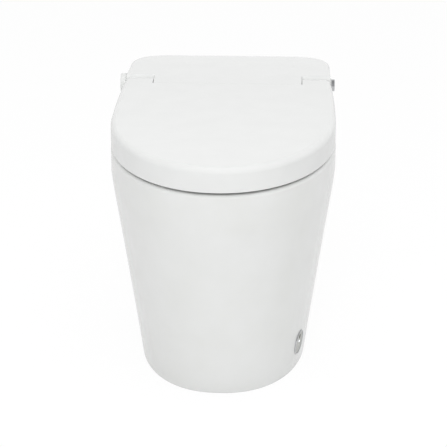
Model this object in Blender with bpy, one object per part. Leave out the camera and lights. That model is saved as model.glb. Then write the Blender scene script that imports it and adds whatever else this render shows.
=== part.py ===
# Tankless one-piece toilet with a washing seat.
# Metres, +Z up. The origin is on the floor, under the middle of the outline.
# The front faces -Y, and +X is the viewer's right.

import math

import bmesh
import bpy
from mathutils import Matrix, Vector

for old in list(bpy.data.objects):
    bpy.data.objects.remove(old, do_unlink=True)

# Fits and walls
GAP = 0.0003              # between pieces that touch
RUNNING = 0.0006          # round a piece that slides or turns
OVERRUN = 0.01            # how far a cutter passes what it cuts
CERAMIC_WALL = 0.011
PLASTIC_WALL = 0.003

# Outline of the rim, seen from above
LENGTH = 0.700
FRONT_Y = -LENGTH / 2
BACK_Y = LENGTH / 2
RIM_HALF = 0.2014
RIM_DEPTH = LENGTH * 0.40857         # from the nose back to the widest point
RIM_TAPER = 0.0054                   # how far each side draws in towards the back
RIM_REAR_HALF = RIM_HALF - RIM_TAPER
RIM_CORNER = 0.040
WIDEST_Y = FRONT_Y + RIM_DEPTH
RIM_TOP = 0.4080
RIM_ROUND = 0.007
FRONT_POWER = 2.05
SIDE_POWER = 2.7

# Outline of the foot, seen from above
FOOT_HALF = 0.1517
FOOT_DEPTH = LENGTH * 0.33191
FOOT_OVERHANG = LENGTH * 0.11559     # the rim's nose in front of the foot's
FOOT_WIDEST_Y = FRONT_Y + FOOT_OVERHANG + FOOT_DEPTH
FOOT_TAPER = 0.0077
FOOT_REAR_HALF = FOOT_HALF - FOOT_TAPER
FOOT_LEAN = 0.0150                   # how far the back wall leans in to the foot
FOOT_BACK_Y = BACK_Y - FOOT_LEAN
FOOT_CORNER = 0.030
FOOT_ROUND = 0.004
FOOT_POWER = 2.33

# The wall between the two outlines: it swells on the way up, and stands upright under the rim
WALL_SWELL = 0.397
WALL_SHOULDER = 1.698
SHOULDER_POWER = 8
WALL_LEVELS = (0.350, 0.750, 0.850, 0.895)
VOID_LEVELS = (0.000, 0.350, 0.850)

# Hinge line that the lid and the seat share
HOUSE_DEPTH = 0.2070                 # from the hinge line to the back
HINGE_RISE = 0.0297
HINGE_Y = BACK_Y - HOUSE_DEPTH
HINGE_Z = RIM_TOP + HINGE_RISE
EAR_R = 0.0180
JOINT_R = 0.0310                     # where the lid's rear edge meets the tongue, from the hinge line
SLOT = 0.0020                        # beside the tongue
SHAFT_R = 0.0040

# Bowl
RIM_SIDE = 0.0774                    # width of the rim at the bowl's sides
RIM_NOSE = 0.0500                    # and at its front
BOWL_HALF = RIM_HALF - RIM_SIDE
BOWL_FRONT = LENGTH * 0.26143
BOWL_BACK = LENGTH * 0.23571
BOWL_Y = FRONT_Y + RIM_NOSE + BOWL_FRONT
BOWL_BOTTOM = RIM_TOP * 0.18627
SUMP_Y = BOWL_Y + LENGTH * 0.12429
BOWL_POWER = 2.2
# Share of the depth, of the width, of the front and back reach, and of the way to the sump
BOWL_SHARES = (
    (0.00, 1.000, 1.000, 1.000, 0.00),
    (0.11, 0.990, 0.990, 0.990, 0.00),
    (0.27, 0.940, 0.930, 0.940, 0.05),
    (0.44, 0.840, 0.790, 0.820, 0.17),
    (0.60, 0.680, 0.600, 0.640, 0.38),
    (0.74, 0.500, 0.410, 0.450, 0.63),
    (0.86, 0.370, 0.270, 0.320, 0.85),
    (0.95, 0.290, 0.200, 0.240, 0.96),
    (1.00, 0.200, 0.140, 0.160, 1.00),
)

# Trapway: out of the sump, over the weir and down to a straight spigot
TRAP_BORE = 0.026
# Share of the way from the sump to the back, and of the rim's height
TRAP_SHARES = (
    (0.0000, 0.2623), (0.1158, 0.2574), (0.2237, 0.3064), (0.3158, 0.3995), (0.4079, 0.4559), (0.4947, 0.4216),
    (0.5316, 0.3260),
)
TRAP_ROUTE = [(SUMP_Y + (BACK_Y - SUMP_Y) * along, RIM_TOP * up) for along, up in TRAP_SHARES]
SPIGOT = 0.0240
SPIGOT_Y = TRAP_ROUTE[-1][0]
SPIGOT_Z = TRAP_ROUTE[-1][1] - SPIGOT

# Plastic adaptor from the spigot to the waste pipe in the floor
OUTLET_WALL = 0.0040
OUTLET_AHEAD = 0.1070                # its floor end, in front of the spigot
OUTLET_Y = SPIGOT_Y - OUTLET_AHEAD
OUTLET_BEND = 0.0360                 # radius of its two bends
OUTLET_BEND_DEG = 75.0
OUTLET_END = 0.0125                  # straight length at the floor
SOCKET_HEIGHT = 0.0180
SOCKET_RUBBER = 0.0030

# Rear service bay, the window in front of it, and the opening low in the back wall
BAY_HALF = RIM_HALF * 0.59583
BAY_BEHIND_HINGE = 0.0370
BAY_BACK_WALL = 0.0280
BAY_FRONT_Y = HINGE_Y + BAY_BEHIND_HINGE
BAY_BACK_Y = BACK_Y - BAY_BACK_WALL
BAY_FLOOR = RIM_TOP * 0.57843
WINDOW_HALF = BAY_HALF * 0.86667
WINDOW_DEPTH = 0.0560
WINDOW_FLOOR = RIM_TOP - WINDOW_DEPTH
WINDOW_ROUND = 0.004
DECK_THICK = 0.0380
VOID_TOP = RIM_TOP - DECK_THICK
SERVICE_HALF = FOOT_HALF * 0.59328
SERVICE_TOP = RIM_TOP * 0.39216
SERVICE_ROUND = 0.020

# Lid
LID_INSET = 0.0006                   # how far it stands inside the rim
LID_TAPER = 0.0070
LID_HALF = RIM_HALF - LID_INSET
LID_DEPTH = RIM_DEPTH - LID_INSET
LID_REAR_HALF = LID_HALF - LID_TAPER
LID_TOP = HINGE_Z + EAR_R
LID_SKIRT = 0.0430
LID_ROUND = 0.0110
LID_WALL = 0.0040
LID_BUFFER_R = 0.0070

# Seat
SEAT_INSET = 0.0062                  # from the lid's outer face to the seat's
SEAT_RISE = 0.0100                   # the rubber buffers' room under it
SEAT_THICK = 0.0290
SEAT_UNDER = RIM_TOP + SEAT_RISE
SEAT_CROWN = SEAT_UNDER + SEAT_THICK
SEAT_REAR_GAP = 0.0025
SEAT_REAR_Y = HINGE_Y - JOINT_R - SEAT_REAR_GAP
SEAT_OVERHANG = 0.0170               # how far it covers the bowl's edge at the sides
SEAT_REACH_IN = 0.0240               # and at the front and back
SEAT_FORWARD = 0.0080
SEAT_HOLE_HALF = BOWL_HALF - SEAT_OVERHANG
SEAT_HOLE_REACH = (BOWL_FRONT + BOWL_BACK) / 2 - SEAT_REACH_IN
SEAT_HOLE_Y = BOWL_Y - SEAT_FORWARD
SEAT_HOLE_POWER = 2.25
SEAT_DISH = 0.0070                   # how far the ring falls to its hole
SEAT_EDGE = 0.0050
SEAT_EAR_R = 0.0145
# The ring's section: share of the way from the outer edge to the hole, then shares of the whole
# thickness, of the dish and of the edge, from its underside
SEAT_SECTION_SHARES = (
    (0.00, 0.0, 0.0, 0.0), (0.00, 1.0, 0.0, -2.0), (0.03, 1.0, 0.0, -0.5), (0.10, 1.0, 0.0, 0.0),
    (0.36, 1.0, 0.0, 0.0), (0.69, 1.0, -0.5, 0.0), (0.92, 1.0, -1.0, 0.0), (1.00, 1.0, -1.0, -1.0),
    (0.97, 0.0, 0.0, 0.0),
)
SEAT_BUFFER = (0.0230, 0.0110)
SEAT_BUFFER_BACK = 0.0590            # the front pair, behind the rim's nose
SEAT_BUFFER_IN = 0.0430              # the rear pair, inside the rim's sides
SEAT_BUFFER_AHEAD = 0.0950           # and in front of the hinge line
SEAT_BUFFER_FRONT = (RIM_HALF * 0.43198, FRONT_Y + SEAT_BUFFER_BACK)
SEAT_BUFFER_REAR = (RIM_HALF - SEAT_BUFFER_IN, HINGE_Y - SEAT_BUFFER_AHEAD)

# Rear housing
HOUSE_PROUD = 0.0012                 # how far its sides stand outside the lid's
HOUSE_HALF = LID_REAR_HALF + HOUSE_PROUD
HOUSE_CORNER = 0.048
HOUSE_FALL = 0.0126                  # how far its top falls to the back
HOUSE_BACK_TOP = LID_TOP - HOUSE_FALL
HOUSE_ROUND = 0.0080
HOUSE_NICK = 0.0014                  # the sharper edge of the tongue and its pockets
TONGUE_HALF = HOUSE_HALF * 0.70513
POCKET_Y = HINGE_Y + EAR_R + RUNNING
POCKET_LEAN_DEG = 8.0                # lets the open lid lean back past upright
POCKET_LEAN = (LID_TOP - HINGE_Z) * math.tan(math.radians(POCKET_LEAN_DEG))
GASKET = 0.0018
TRAY_Z = RIM_TOP + 2 * GAP + GASKET
TRAY_TOP = TRAY_Z + PLASTIC_WALL
MOUTH_HALF = WINDOW_HALF + RUNNING   # opening under the front of the tongue
MOUTH_RISE = 0.0110
MOUTH_TOP = RIM_TOP + MOUTH_RISE
APRON_BEHIND = 0.0075
APRON_Y = HINGE_Y - JOINT_R + APRON_BEHIND

# Wash wands and dryer, along one slope that points forward and down
SLOPE_DEG = 28.0
NOSE_AHEAD = 0.0730                  # in front of the hinge line
NOSE_DOWN = 0.0300                   # and under the rim's top
NOSE_Y = HINGE_Y - NOSE_AHEAD
NOSE_Z = RIM_TOP - NOSE_DOWN
WAND_R = 0.0065
WAND_LENGTH = 0.1280
WAND_X = HOUSE_HALF * 0.07180
GUARD_HALF = HOUSE_HALF * 0.14103
GUARD_RISE = 0.0115
GUARD_LENGTH = 0.0620
GUIDE_END = 0.1340
MOTOR_BOX = (HOUSE_HALF * 0.10256, 0.0300, 0.0200)
DUCT_X = HOUSE_HALF * 0.37180
DUCT_HALF = HOUSE_HALF * 0.10769
DUCT_RISE = 0.0100
DUCT_START = 0.0300
DUCT_END = 0.1080
DUCT_WALL = 0.0018
FLAP_THICK = 0.0022
FLAP_PIN_R = 0.0014

# Units in the housing: their left edge and width as shares of its half width, their front edge and
# length as shares of its depth behind the hinge line
HEATER_SHARES = (-0.8513, 0.4513, 0.3527, 0.4638)
BOARD_SHARES = (-0.3385, 0.5538, 0.4010, 0.4638)
DEODORISER_SHARES = (0.7538, 0.1949, 0.3333, 0.4348)
BLOWER_SHARES = (0.5026, 0.5652)     # its middle
DECK_BOLT_SHARES = (0.8000, 0.2560)
HEATER_HEIGHT = 0.0270
DEODORISER_HEIGHT = 0.0260
BOARD_RISE = 0.0062
BOARD_THICK = 0.0016
BOSS_R = 0.0036
BOSS_INSET = 0.0042
BLOWER_AT = (HOUSE_HALF * BLOWER_SHARES[0], HINGE_Y + HOUSE_DEPTH * BLOWER_SHARES[1])
BLOWER_R = HOUSE_HALF * 0.21538
BLOWER_HEIGHT = 0.0290
FAN_R = BLOWER_R * 0.78571
FAN_HUB_R = 0.0090
FAN_HEIGHT = 0.0190
BLADE_COUNT = 12
BLADE_THICK = 0.0012

# Side controls
CONTROL_BEHIND = 0.0400              # behind the hinge line
CONTROL_DROP = 0.0034                # and under it
CONTROL_Y = HINGE_Y + CONTROL_BEHIND
CONTROL_Z = HINGE_Z - CONTROL_DROP
DIAL_R = 0.0190
DIAL_PROUD = 0.0120                  # out of the housing's side
DIAL_OUT = HOUSE_HALF + DIAL_PROUD
DIAL_BEZEL = 0.0032
DIAL_SPINDLE_R = 0.0030
PUSH_R = 0.0085
PUSH_PROUD = 0.0004
PUSH_DEPTH = 0.0050
PUSH_TRAVEL = 0.0015
KNOB_R = 0.0115
KNOB_PROUD = 0.0084
KNOB_OUT = HOUSE_HALF + KNOB_PROUD
KNOB_COLLAR = 0.0018
KNOB_TRAVEL = 0.0025
SWITCH_BOX = (0.0140, 0.0180, 0.0180)
SWITCH_ARM = 0.0030                  # arms from the switch to the cover's wall

# Foot sensor, on the viewer's right of the foot
SENSOR_TURN_DEG = 60.6
SENSOR_Z = 0.0580
SENSOR_HALF = (0.0120, 0.0240)
SENSOR_SEAT = 0.0016                 # how deep its recess is
SENSOR_PROUD = 0.0022
SENSOR_RIM = 0.0024
SENSOR_CASE = (0.0080, 0.0190)
SENSOR_CASE_DEEP = 0.0260
LENS_R = 0.0042
LENS_RISE = 0.0125
LAMP_R = 0.0022
LAMP_RISE = 0.0020

# Flush side
INLET_X = -HOUSE_HALF * 0.41026
GLAND_X = HOUSE_HALF * 0.41026
PIPE_Z = BAY_FLOOR + (RIM_TOP - BAY_FLOOR) * 0.34302
INLET_R = 0.0130
GLAND_R = 0.0080
VALVE_BOX = (0.0440, (BAY_BACK_Y - BAY_FRONT_Y) * 0.39437, 0.0500)
PUMP_R = 0.0290
PUMP_LENGTH = 0.0750
HOSE_R = 0.0070
JET_X = -HOUSE_HALF * 0.40000
JET_BOX = (0.0300, 0.0480, 0.0240)
# The jet's spout: half its width and its length as shares of the jet's, then its floor and its roof
SPOUT_SHARES = (0.333, 0.71, 0.25, 0.75)
HOSE_Z = WINDOW_FLOOR + JET_BOX[2] / 2

# Fixing
SEAL_R = 0.0560
SEAL_HEIGHT = 0.0120
BRACKET_AHEAD = 0.1400               # in front of the back
BRACKET_Y = BACK_Y - BRACKET_AHEAD
BRACKET_LENGTH = 0.0600
BRACKET_HEIGHT = 0.0560
BRACKET_FOOT = 0.0400
BRACKET_THICK = 0.0040
SIDE_BOLT_Z = 0.0380
SIDE_BOLT_R = 0.0040
SIDE_CAP_R = 0.0090
SIDE_CAP_THICK = 0.0022
DECK_BOLT_AT = (HOUSE_HALF * DECK_BOLT_SHARES[0], HINGE_Y + HOUSE_DEPTH * DECK_BOLT_SHARES[1])
DECK_BOLT_R = 0.0040
DECK_BOLT_HEAD_R = 0.0070
DECK_BOLT_HEAD = 0.0050
DECK_BOLT_LENGTH = 0.0320

# Facets
FRONT_STEPS = 13
SIDE_STEPS = 4
CORNER_STEPS = 4
ROUND_STEPS = 2
BOWL_STEPS = 28
TRAP_STEPS = 2
BEND_STEPS = 4
TRAP_SIDES = 12
TURN_STEPS = 22
SMALL_STEPS = 12

# Colour, roughness and metallic value of each finish
FINISHES = {
    "vitreous_glaze": ((0.86, 0.86, 0.86), 0.10, 0.0),
    "white_gloss_plastic": ((0.88, 0.89, 0.89), 0.22, 0.0),
    "white_satin_plastic": ((0.84, 0.85, 0.85), 0.40, 0.0),
    "grey_plastic": ((0.45, 0.46, 0.47), 0.50, 0.0),
    "black_plastic": ((0.03, 0.03, 0.03), 0.45, 0.0),
    "clear_lens": ((0.12, 0.13, 0.09), 0.08, 0.0),
    "lamp_white": ((0.95, 0.96, 0.98), 0.30, 0.0),
    "chrome": ((0.62, 0.62, 0.63), 0.12, 1.0),
    "steel": ((0.55, 0.55, 0.56), 0.30, 1.0),
    "brass": ((0.70, 0.52, 0.25), 0.30, 1.0),
    "rubber": ((0.06, 0.06, 0.06), 0.80, 0.0),
    "soft_rubber": ((0.62, 0.63, 0.63), 0.70, 0.0),
    "circuit_board": ((0.02, 0.16, 0.07), 0.50, 0.0),
}


def finish(piece, name):
    """Gives a piece its material, made the first time it is asked for."""
    material = bpy.data.materials.get(name)
    if material is None:
        colour, roughness, metallic = FINISHES[name]
        material = bpy.data.materials.new(name)
        material.use_nodes = True
        shader = material.node_tree.nodes["Principled BSDF"]
        shader.inputs["Base Color"].default_value = (*colour, 1.0)
        shader.inputs["Roughness"].default_value = roughness
        shader.inputs["Metallic"].default_value = metallic
        material.diffuse_color = (*colour, 1.0)
    piece.data.materials.clear()
    piece.data.materials.append(material)
    piece.data.shade_smooth()
    piece.data.set_sharp_from_angle(angle=math.radians(32))
    return piece


def from_bmesh(name, shape, place=None):
    """Turns a bmesh into an object, with its faces triangles that point out."""
    if place is not None:
        shape.transform(place)
    bmesh.ops.recalc_face_normals(shape, faces=shape.faces)
    bmesh.ops.triangulate(shape, faces=shape.faces)
    mesh = bpy.data.meshes.new(name)
    shape.to_mesh(mesh)
    shape.free()
    piece = bpy.data.objects.new(name, mesh)
    bpy.context.collection.objects.link(piece)
    return piece


def loft(name, rings, place=None, closed=False):
    """Skins rings of points that all have the same count."""
    shape = bmesh.new()
    rows = [[shape.verts.new(point) for point in ring] for ring in rings]
    count = len(rows[0])
    pairs = list(zip(rows, rows[1:]))
    if closed:
        pairs.append((rows[-1], rows[0]))
    for low, high in pairs:
        for here in range(count):
            there = (here + 1) % count
            shape.faces.new((low[here], low[there], high[there], high[here]))
    if not closed:
        shape.faces.new(list(reversed(rows[0])))
        shape.faces.new(rows[-1])
    return from_bmesh(name, shape, place)


def block(name, low, high, edge=0.0, place=None, steps=1):
    """A box between two corners, with its edges broken, or rounded in more steps."""
    shape = bmesh.new()
    bmesh.ops.create_cube(shape, size=1.0)
    size = Vector(high) - Vector(low)
    middle = (Vector(high) + Vector(low)) / 2
    shape.transform(Matrix.Translation(middle) @ Matrix.Diagonal((*size, 1.0)))
    if edge:
        bmesh.ops.bevel(shape, geom=shape.edges[:], offset=edge, segments=steps, profile=0.5,
                        affect="EDGES", material=-1)
    return from_bmesh(name, shape, place)


def axis_place(axis, origin):
    """Turns the local Z of a turned piece to an axis and moves it to a place."""
    turn = Vector((0, 0, 1)).rotation_difference(Vector(axis)).to_matrix().to_4x4()
    return Matrix.Translation(Vector(origin)) @ turn


def turned(name, profile, place, steps=SMALL_STEPS):
    """A solid of revolution from (radius, height) pairs that run up its outer side."""
    rings = []
    for radius, height in profile:
        ring = []
        for step in range(steps):
            angle = 2 * math.pi * step / steps
            ring.append((radius * math.cos(angle), radius * math.sin(angle), height))
        rings.append(ring)
    return loft(name, rings, place)


def rod(name, radius, start, end, steps=SMALL_STEPS):
    """A plain cylinder between two points."""
    run = Vector(end) - Vector(start)
    return turned(name, ((radius, 0.0), (radius, run.length)), axis_place(run.normalized(), start), steps)


def button(name, radius, thick, edge, place, steps=SMALL_STEPS):
    """A short cylinder whose far edge is rounded."""
    profile = [(radius, 0.0)]
    for step in range(ROUND_STEPS + 1):
        angle = math.pi / 2 * step / ROUND_STEPS
        profile.append((radius - edge + edge * math.cos(angle), thick - edge + edge * math.sin(angle)))
    return turned(name, profile, place, steps)


def combine(piece, other, operation):
    """Runs an exact Boolean and keeps its result as the piece's own mesh."""
    step = piece.modifiers.new(operation.title(), "BOOLEAN")
    step.operation = operation
    step.solver = "EXACT"
    step.object = other
    bpy.context.view_layer.update()
    graph = bpy.context.evaluated_depsgraph_get()
    result = bpy.data.meshes.new_from_object(piece.evaluated_get(graph))
    piece.modifiers.clear()
    piece.data = result
    bpy.data.objects.remove(other, do_unlink=True)
    return piece


def group(name, *pieces):
    """Puts pieces that don't touch into one object, as a single operand."""
    shape = bmesh.new()
    for piece in pieces:
        shape.from_mesh(piece.data)
        bpy.data.objects.remove(piece, do_unlink=True)
    return from_bmesh(name, shape)


def cut(piece, *cutters):
    for cutter in cutters:
        combine(piece, cutter, "DIFFERENCE")
    return piece


def weld(piece, *others):
    for other in others:
        combine(piece, other, "UNION")
    return piece


def keep(piece, region):
    return combine(piece, region, "INTERSECT")


def tidy(piece):
    """Merges the doubles that a Boolean leaves, and rejoins flat faces where they stay closed."""
    for flatten in (True, False):
        shape = bmesh.new()
        shape.from_mesh(piece.data)
        bmesh.ops.remove_doubles(shape, verts=shape.verts, dist=GAP / 100)
        if flatten:
            bmesh.ops.dissolve_limit(shape, angle_limit=math.radians(0.2), verts=shape.verts, edges=shape.edges)
        bmesh.ops.triangulate(shape, faces=shape.faces)
        closed = all(len(edge.link_faces) == 2 for edge in shape.edges)
        if closed or not flatten:
            shape.to_mesh(piece.data)
        shape.free()
        if closed:
            break
    return piece


def pivot(name, place):
    """An empty on a joint's axis, which carries the pieces that move."""
    empty = bpy.data.objects.new(name, None)
    empty.location = place
    bpy.context.collection.objects.link(empty)
    return empty


def carry(parent, *pieces):
    """Hangs pieces on an empty and leaves them where they are."""
    bpy.context.view_layer.update()
    for piece in pieces:
        piece.parent = parent
        piece.matrix_parent_inverse = parent.matrix_world.inverted()


def mirrored(points):
    """Closes a right-hand half outline, from the nose to the back, with its left half."""
    return points + [(-x, y) for x, y in reversed(points[1:-1])]


def plan(half, depth, widest_y, rear_half, back_y, corner, power):
    """Outline from above: rounded front, sides that draw in, and rounded rear corners."""
    points = []
    for step in range(FRONT_STEPS + 1):
        angle = math.pi / 2 * step / FRONT_STEPS
        across = abs(math.sin(angle)) ** (2 / power)
        along = abs(math.cos(angle)) ** (2 / power)
        points.append((half * across, widest_y - depth * along))
    for step in range(1, SIDE_STEPS + 1):
        share = step / SIDE_STEPS
        y = widest_y + (back_y - corner - widest_y) * share
        points.append((half - (half - rear_half) * share ** SIDE_POWER, y))
    for step in range(1, CORNER_STEPS + 1):
        angle = math.pi / 2 * step / CORNER_STEPS
        points.append((rear_half - corner + corner * math.cos(angle), back_y - corner + corner * math.sin(angle)))
    points.append((0.0, back_y))
    return mirrored(points)


def rim_plan(inset):
    return plan(RIM_HALF - inset, RIM_DEPTH - inset, WIDEST_Y, RIM_REAR_HALF - inset, BACK_Y - inset,
                RIM_CORNER - inset, FRONT_POWER)


def foot_plan(inset):
    return plan(FOOT_HALF - inset, FOOT_DEPTH - inset, FOOT_WIDEST_Y, FOOT_REAR_HALF - inset,
                FOOT_BACK_Y - inset, FOOT_CORNER - inset, FOOT_POWER)


def wall_share(z):
    """How far the wall has come from the foot's outline to the rim's at one height."""
    up = min(max(z / RIM_TOP, 0.0), 1.0)
    return min(up + (WALL_SWELL * up ** 2 + WALL_SHOULDER * up ** SHOULDER_POWER) * (1 - up), 1.0)


def wall_ring(z, inset):
    """The pedestal's wall at one height, between the foot's outline and the rim's."""
    share = wall_share(z)
    ring = []
    for (foot_x, foot_y), (rim_x, rim_y) in zip(foot_plan(inset), rim_plan(inset)):
        ring.append((foot_x + (rim_x - foot_x) * share, foot_y + (rim_y - foot_y) * share, z))
    return ring


def egg(half, front, back, centre_y, power, z, steps=BOWL_STEPS):
    """An egg-shaped ring: a long front and a shorter back."""
    ring = []
    for step in range(steps):
        angle = 2 * math.pi * step / steps
        across = math.copysign(abs(math.sin(angle)) ** (2 / power), math.sin(angle))
        along = math.copysign(abs(math.cos(angle)) ** (2 / power), math.cos(angle))
        reach = front if along > 0 else back
        ring.append((half * across, centre_y - reach * along, z))
    return ring


def bowl(name, wall):
    """The bowl's inside, or with a wall its outside, as one solid."""
    depth = RIM_TOP - BOWL_BOTTOM + wall
    rings = [egg(BOWL_HALF + wall, BOWL_FRONT + wall, BOWL_BACK + wall, BOWL_Y, BOWL_POWER, RIM_TOP + OVERRUN)]
    for down, width, front, back, drift in BOWL_SHARES:
        y = BOWL_Y + (SUMP_Y - BOWL_Y) * drift
        rings.append(egg(BOWL_HALF * width + wall, BOWL_FRONT * front + wall, BOWL_BACK * back + wall, y,
                         BOWL_POWER, RIM_TOP - depth * down))
    return loft(name, rings)


def smooth_route(points, steps):
    """A smooth curve through a list of points."""
    ends = [points[0]] + list(points) + [points[-1]]
    route = []
    for before, here, there, after in zip(ends, ends[1:], ends[2:], ends[3:]):
        before, here, there, after = (Vector(point) for point in (before, here, there, after))
        for step in range(steps):
            t = step / steps
            route.append(((2 * here) + (there - before) * t
                          + (2 * before - 5 * here + 4 * there - after) * t ** 2
                          + (3 * here - before - 3 * there + after) * t ** 3) / 2)
    route.append(Vector(points[-1]))
    return route


def pipe(name, route, radius, sides):
    """A round bar along a route, with square ends."""
    rings = []
    side = None
    for index, point in enumerate(route):
        ahead = route[min(index + 1, len(route) - 1)] - route[max(index - 1, 0)]
        ahead.normalize()
        if side is None:
            side = ahead.orthogonal().normalized()
        side = (side - ahead * side.dot(ahead)).normalized()
        up = ahead.cross(side)
        ring = []
        for step in range(sides):
            angle = 2 * math.pi * step / sides
            ring.append(point + side * radius * math.cos(angle) + up * radius * math.sin(angle))
        rings.append(ring)
    return loft(name, rings)


def waterway(name, points, radius, drop):
    """A smooth (y, z) route as a round bar, which runs straight down from its last point."""
    route = smooth_route([(0.0, y, z) for y, z in points], TRAP_STEPS)
    route.append(route[-1] - Vector((0, 0, drop)))
    return pipe(name, route, radius, TRAP_SIDES)


def outlet_pipe(name, radius, low_z, high_z):
    """The outlet adaptor's course as a round bar: upright at both ends, with two equal bends."""
    turn = math.radians(OUTLET_BEND_DEG)
    slant = (OUTLET_AHEAD - 2 * OUTLET_BEND * (1 - math.cos(turn))) / math.sin(turn)
    middle_z = OUTLET_END + OUTLET_BEND * math.sin(turn) + slant * math.cos(turn)
    low_bend, high_bend = [], []
    for step in range(BEND_STEPS + 1):
        angle = turn * step / BEND_STEPS
        reach, rise = OUTLET_BEND * (1 - math.cos(angle)), OUTLET_BEND * math.sin(angle)
        low_bend.append((OUTLET_Y + reach, OUTLET_END + rise))
        high_bend.append((SPIGOT_Y - reach, middle_z + OUTLET_BEND * math.sin(turn) - rise))
    course = [(OUTLET_Y, low_z)] + low_bend + high_bend[::-1] + [(SPIGOT_Y, high_z)]
    return pipe(name, [Vector((0.0, y, z)) for y, z in course], radius, TRAP_SIDES)


def prism_x(name, profile, low_x, high_x):
    """A (y, z) profile drawn out along X."""
    return loft(name, [[(x, y, z) for y, z in profile] for x in (low_x, high_x)])


def arc_x(radius, start_deg, end_deg, steps):
    """Points (y, z) round the hinge line. Angles run from the front over the top."""
    points = []
    for step in range(steps + 1):
        angle = math.radians(start_deg + (end_deg - start_deg) * step / steps)
        points.append((HINGE_Y - radius * math.cos(angle), HINGE_Z + radius * math.sin(angle)))
    return points


SLOPE = Matrix.Translation((0, NOSE_Y, NOSE_Z)) @ Matrix.Rotation(math.radians(SLOPE_DEG), 4, "X")


def sensor_frame():
    """Where the foot sensor sits: local Z points out of the wall, local Y runs up it."""
    def at(turn_deg, z):
        angle = math.radians(turn_deg)
        spots = []
        for half, depth, y, power in ((FOOT_HALF, FOOT_DEPTH, FOOT_WIDEST_Y, FOOT_POWER),
                                      (RIM_HALF, RIM_DEPTH, WIDEST_Y, FRONT_POWER)):
            spots.append(Vector((half * math.sin(angle) ** (2 / power),
                                 y - depth * math.cos(angle) ** (2 / power), z)))
        spot = spots[0].lerp(spots[1], wall_share(z))
        spot.z = z
        return spot
    spot = at(SENSOR_TURN_DEG, SENSOR_Z)
    up = (at(SENSOR_TURN_DEG, SENSOR_Z + SENSOR_HALF[1]) - spot).normalized()
    along = (at(SENSOR_TURN_DEG + 1, SENSOR_Z) - spot).normalized()
    out = along.cross(up).normalized()
    along = up.cross(out)
    return Matrix.Translation(spot) @ Matrix((along, up, out)).transposed().to_4x4()


def oval(name, half_x, half_y, low, high, place, edge=0.0):
    """An upright oval plate, with a rounded front edge where edge is given."""
    levels = [(low, 0.0)]
    if edge:
        for step in range(ROUND_STEPS + 1):
            angle = math.pi / 2 * step / ROUND_STEPS
            levels.append((high - edge + edge * math.sin(angle), edge - edge * math.cos(angle)))
    else:
        levels.append((high, 0.0))
    rings = []
    for z, inset in levels:
        rings.append([(half_x_y[0], half_x_y[1], z) for half_x_y in oval_points(half_x - inset, half_y - inset)])
    return loft(name, rings, place)


def oval_points(half_x, half_y):
    points = []
    for step in range(TURN_STEPS):
        angle = 2 * math.pi * step / TURN_STEPS
        points.append((half_x * math.cos(angle), half_y * math.sin(angle)))
    return points


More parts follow.
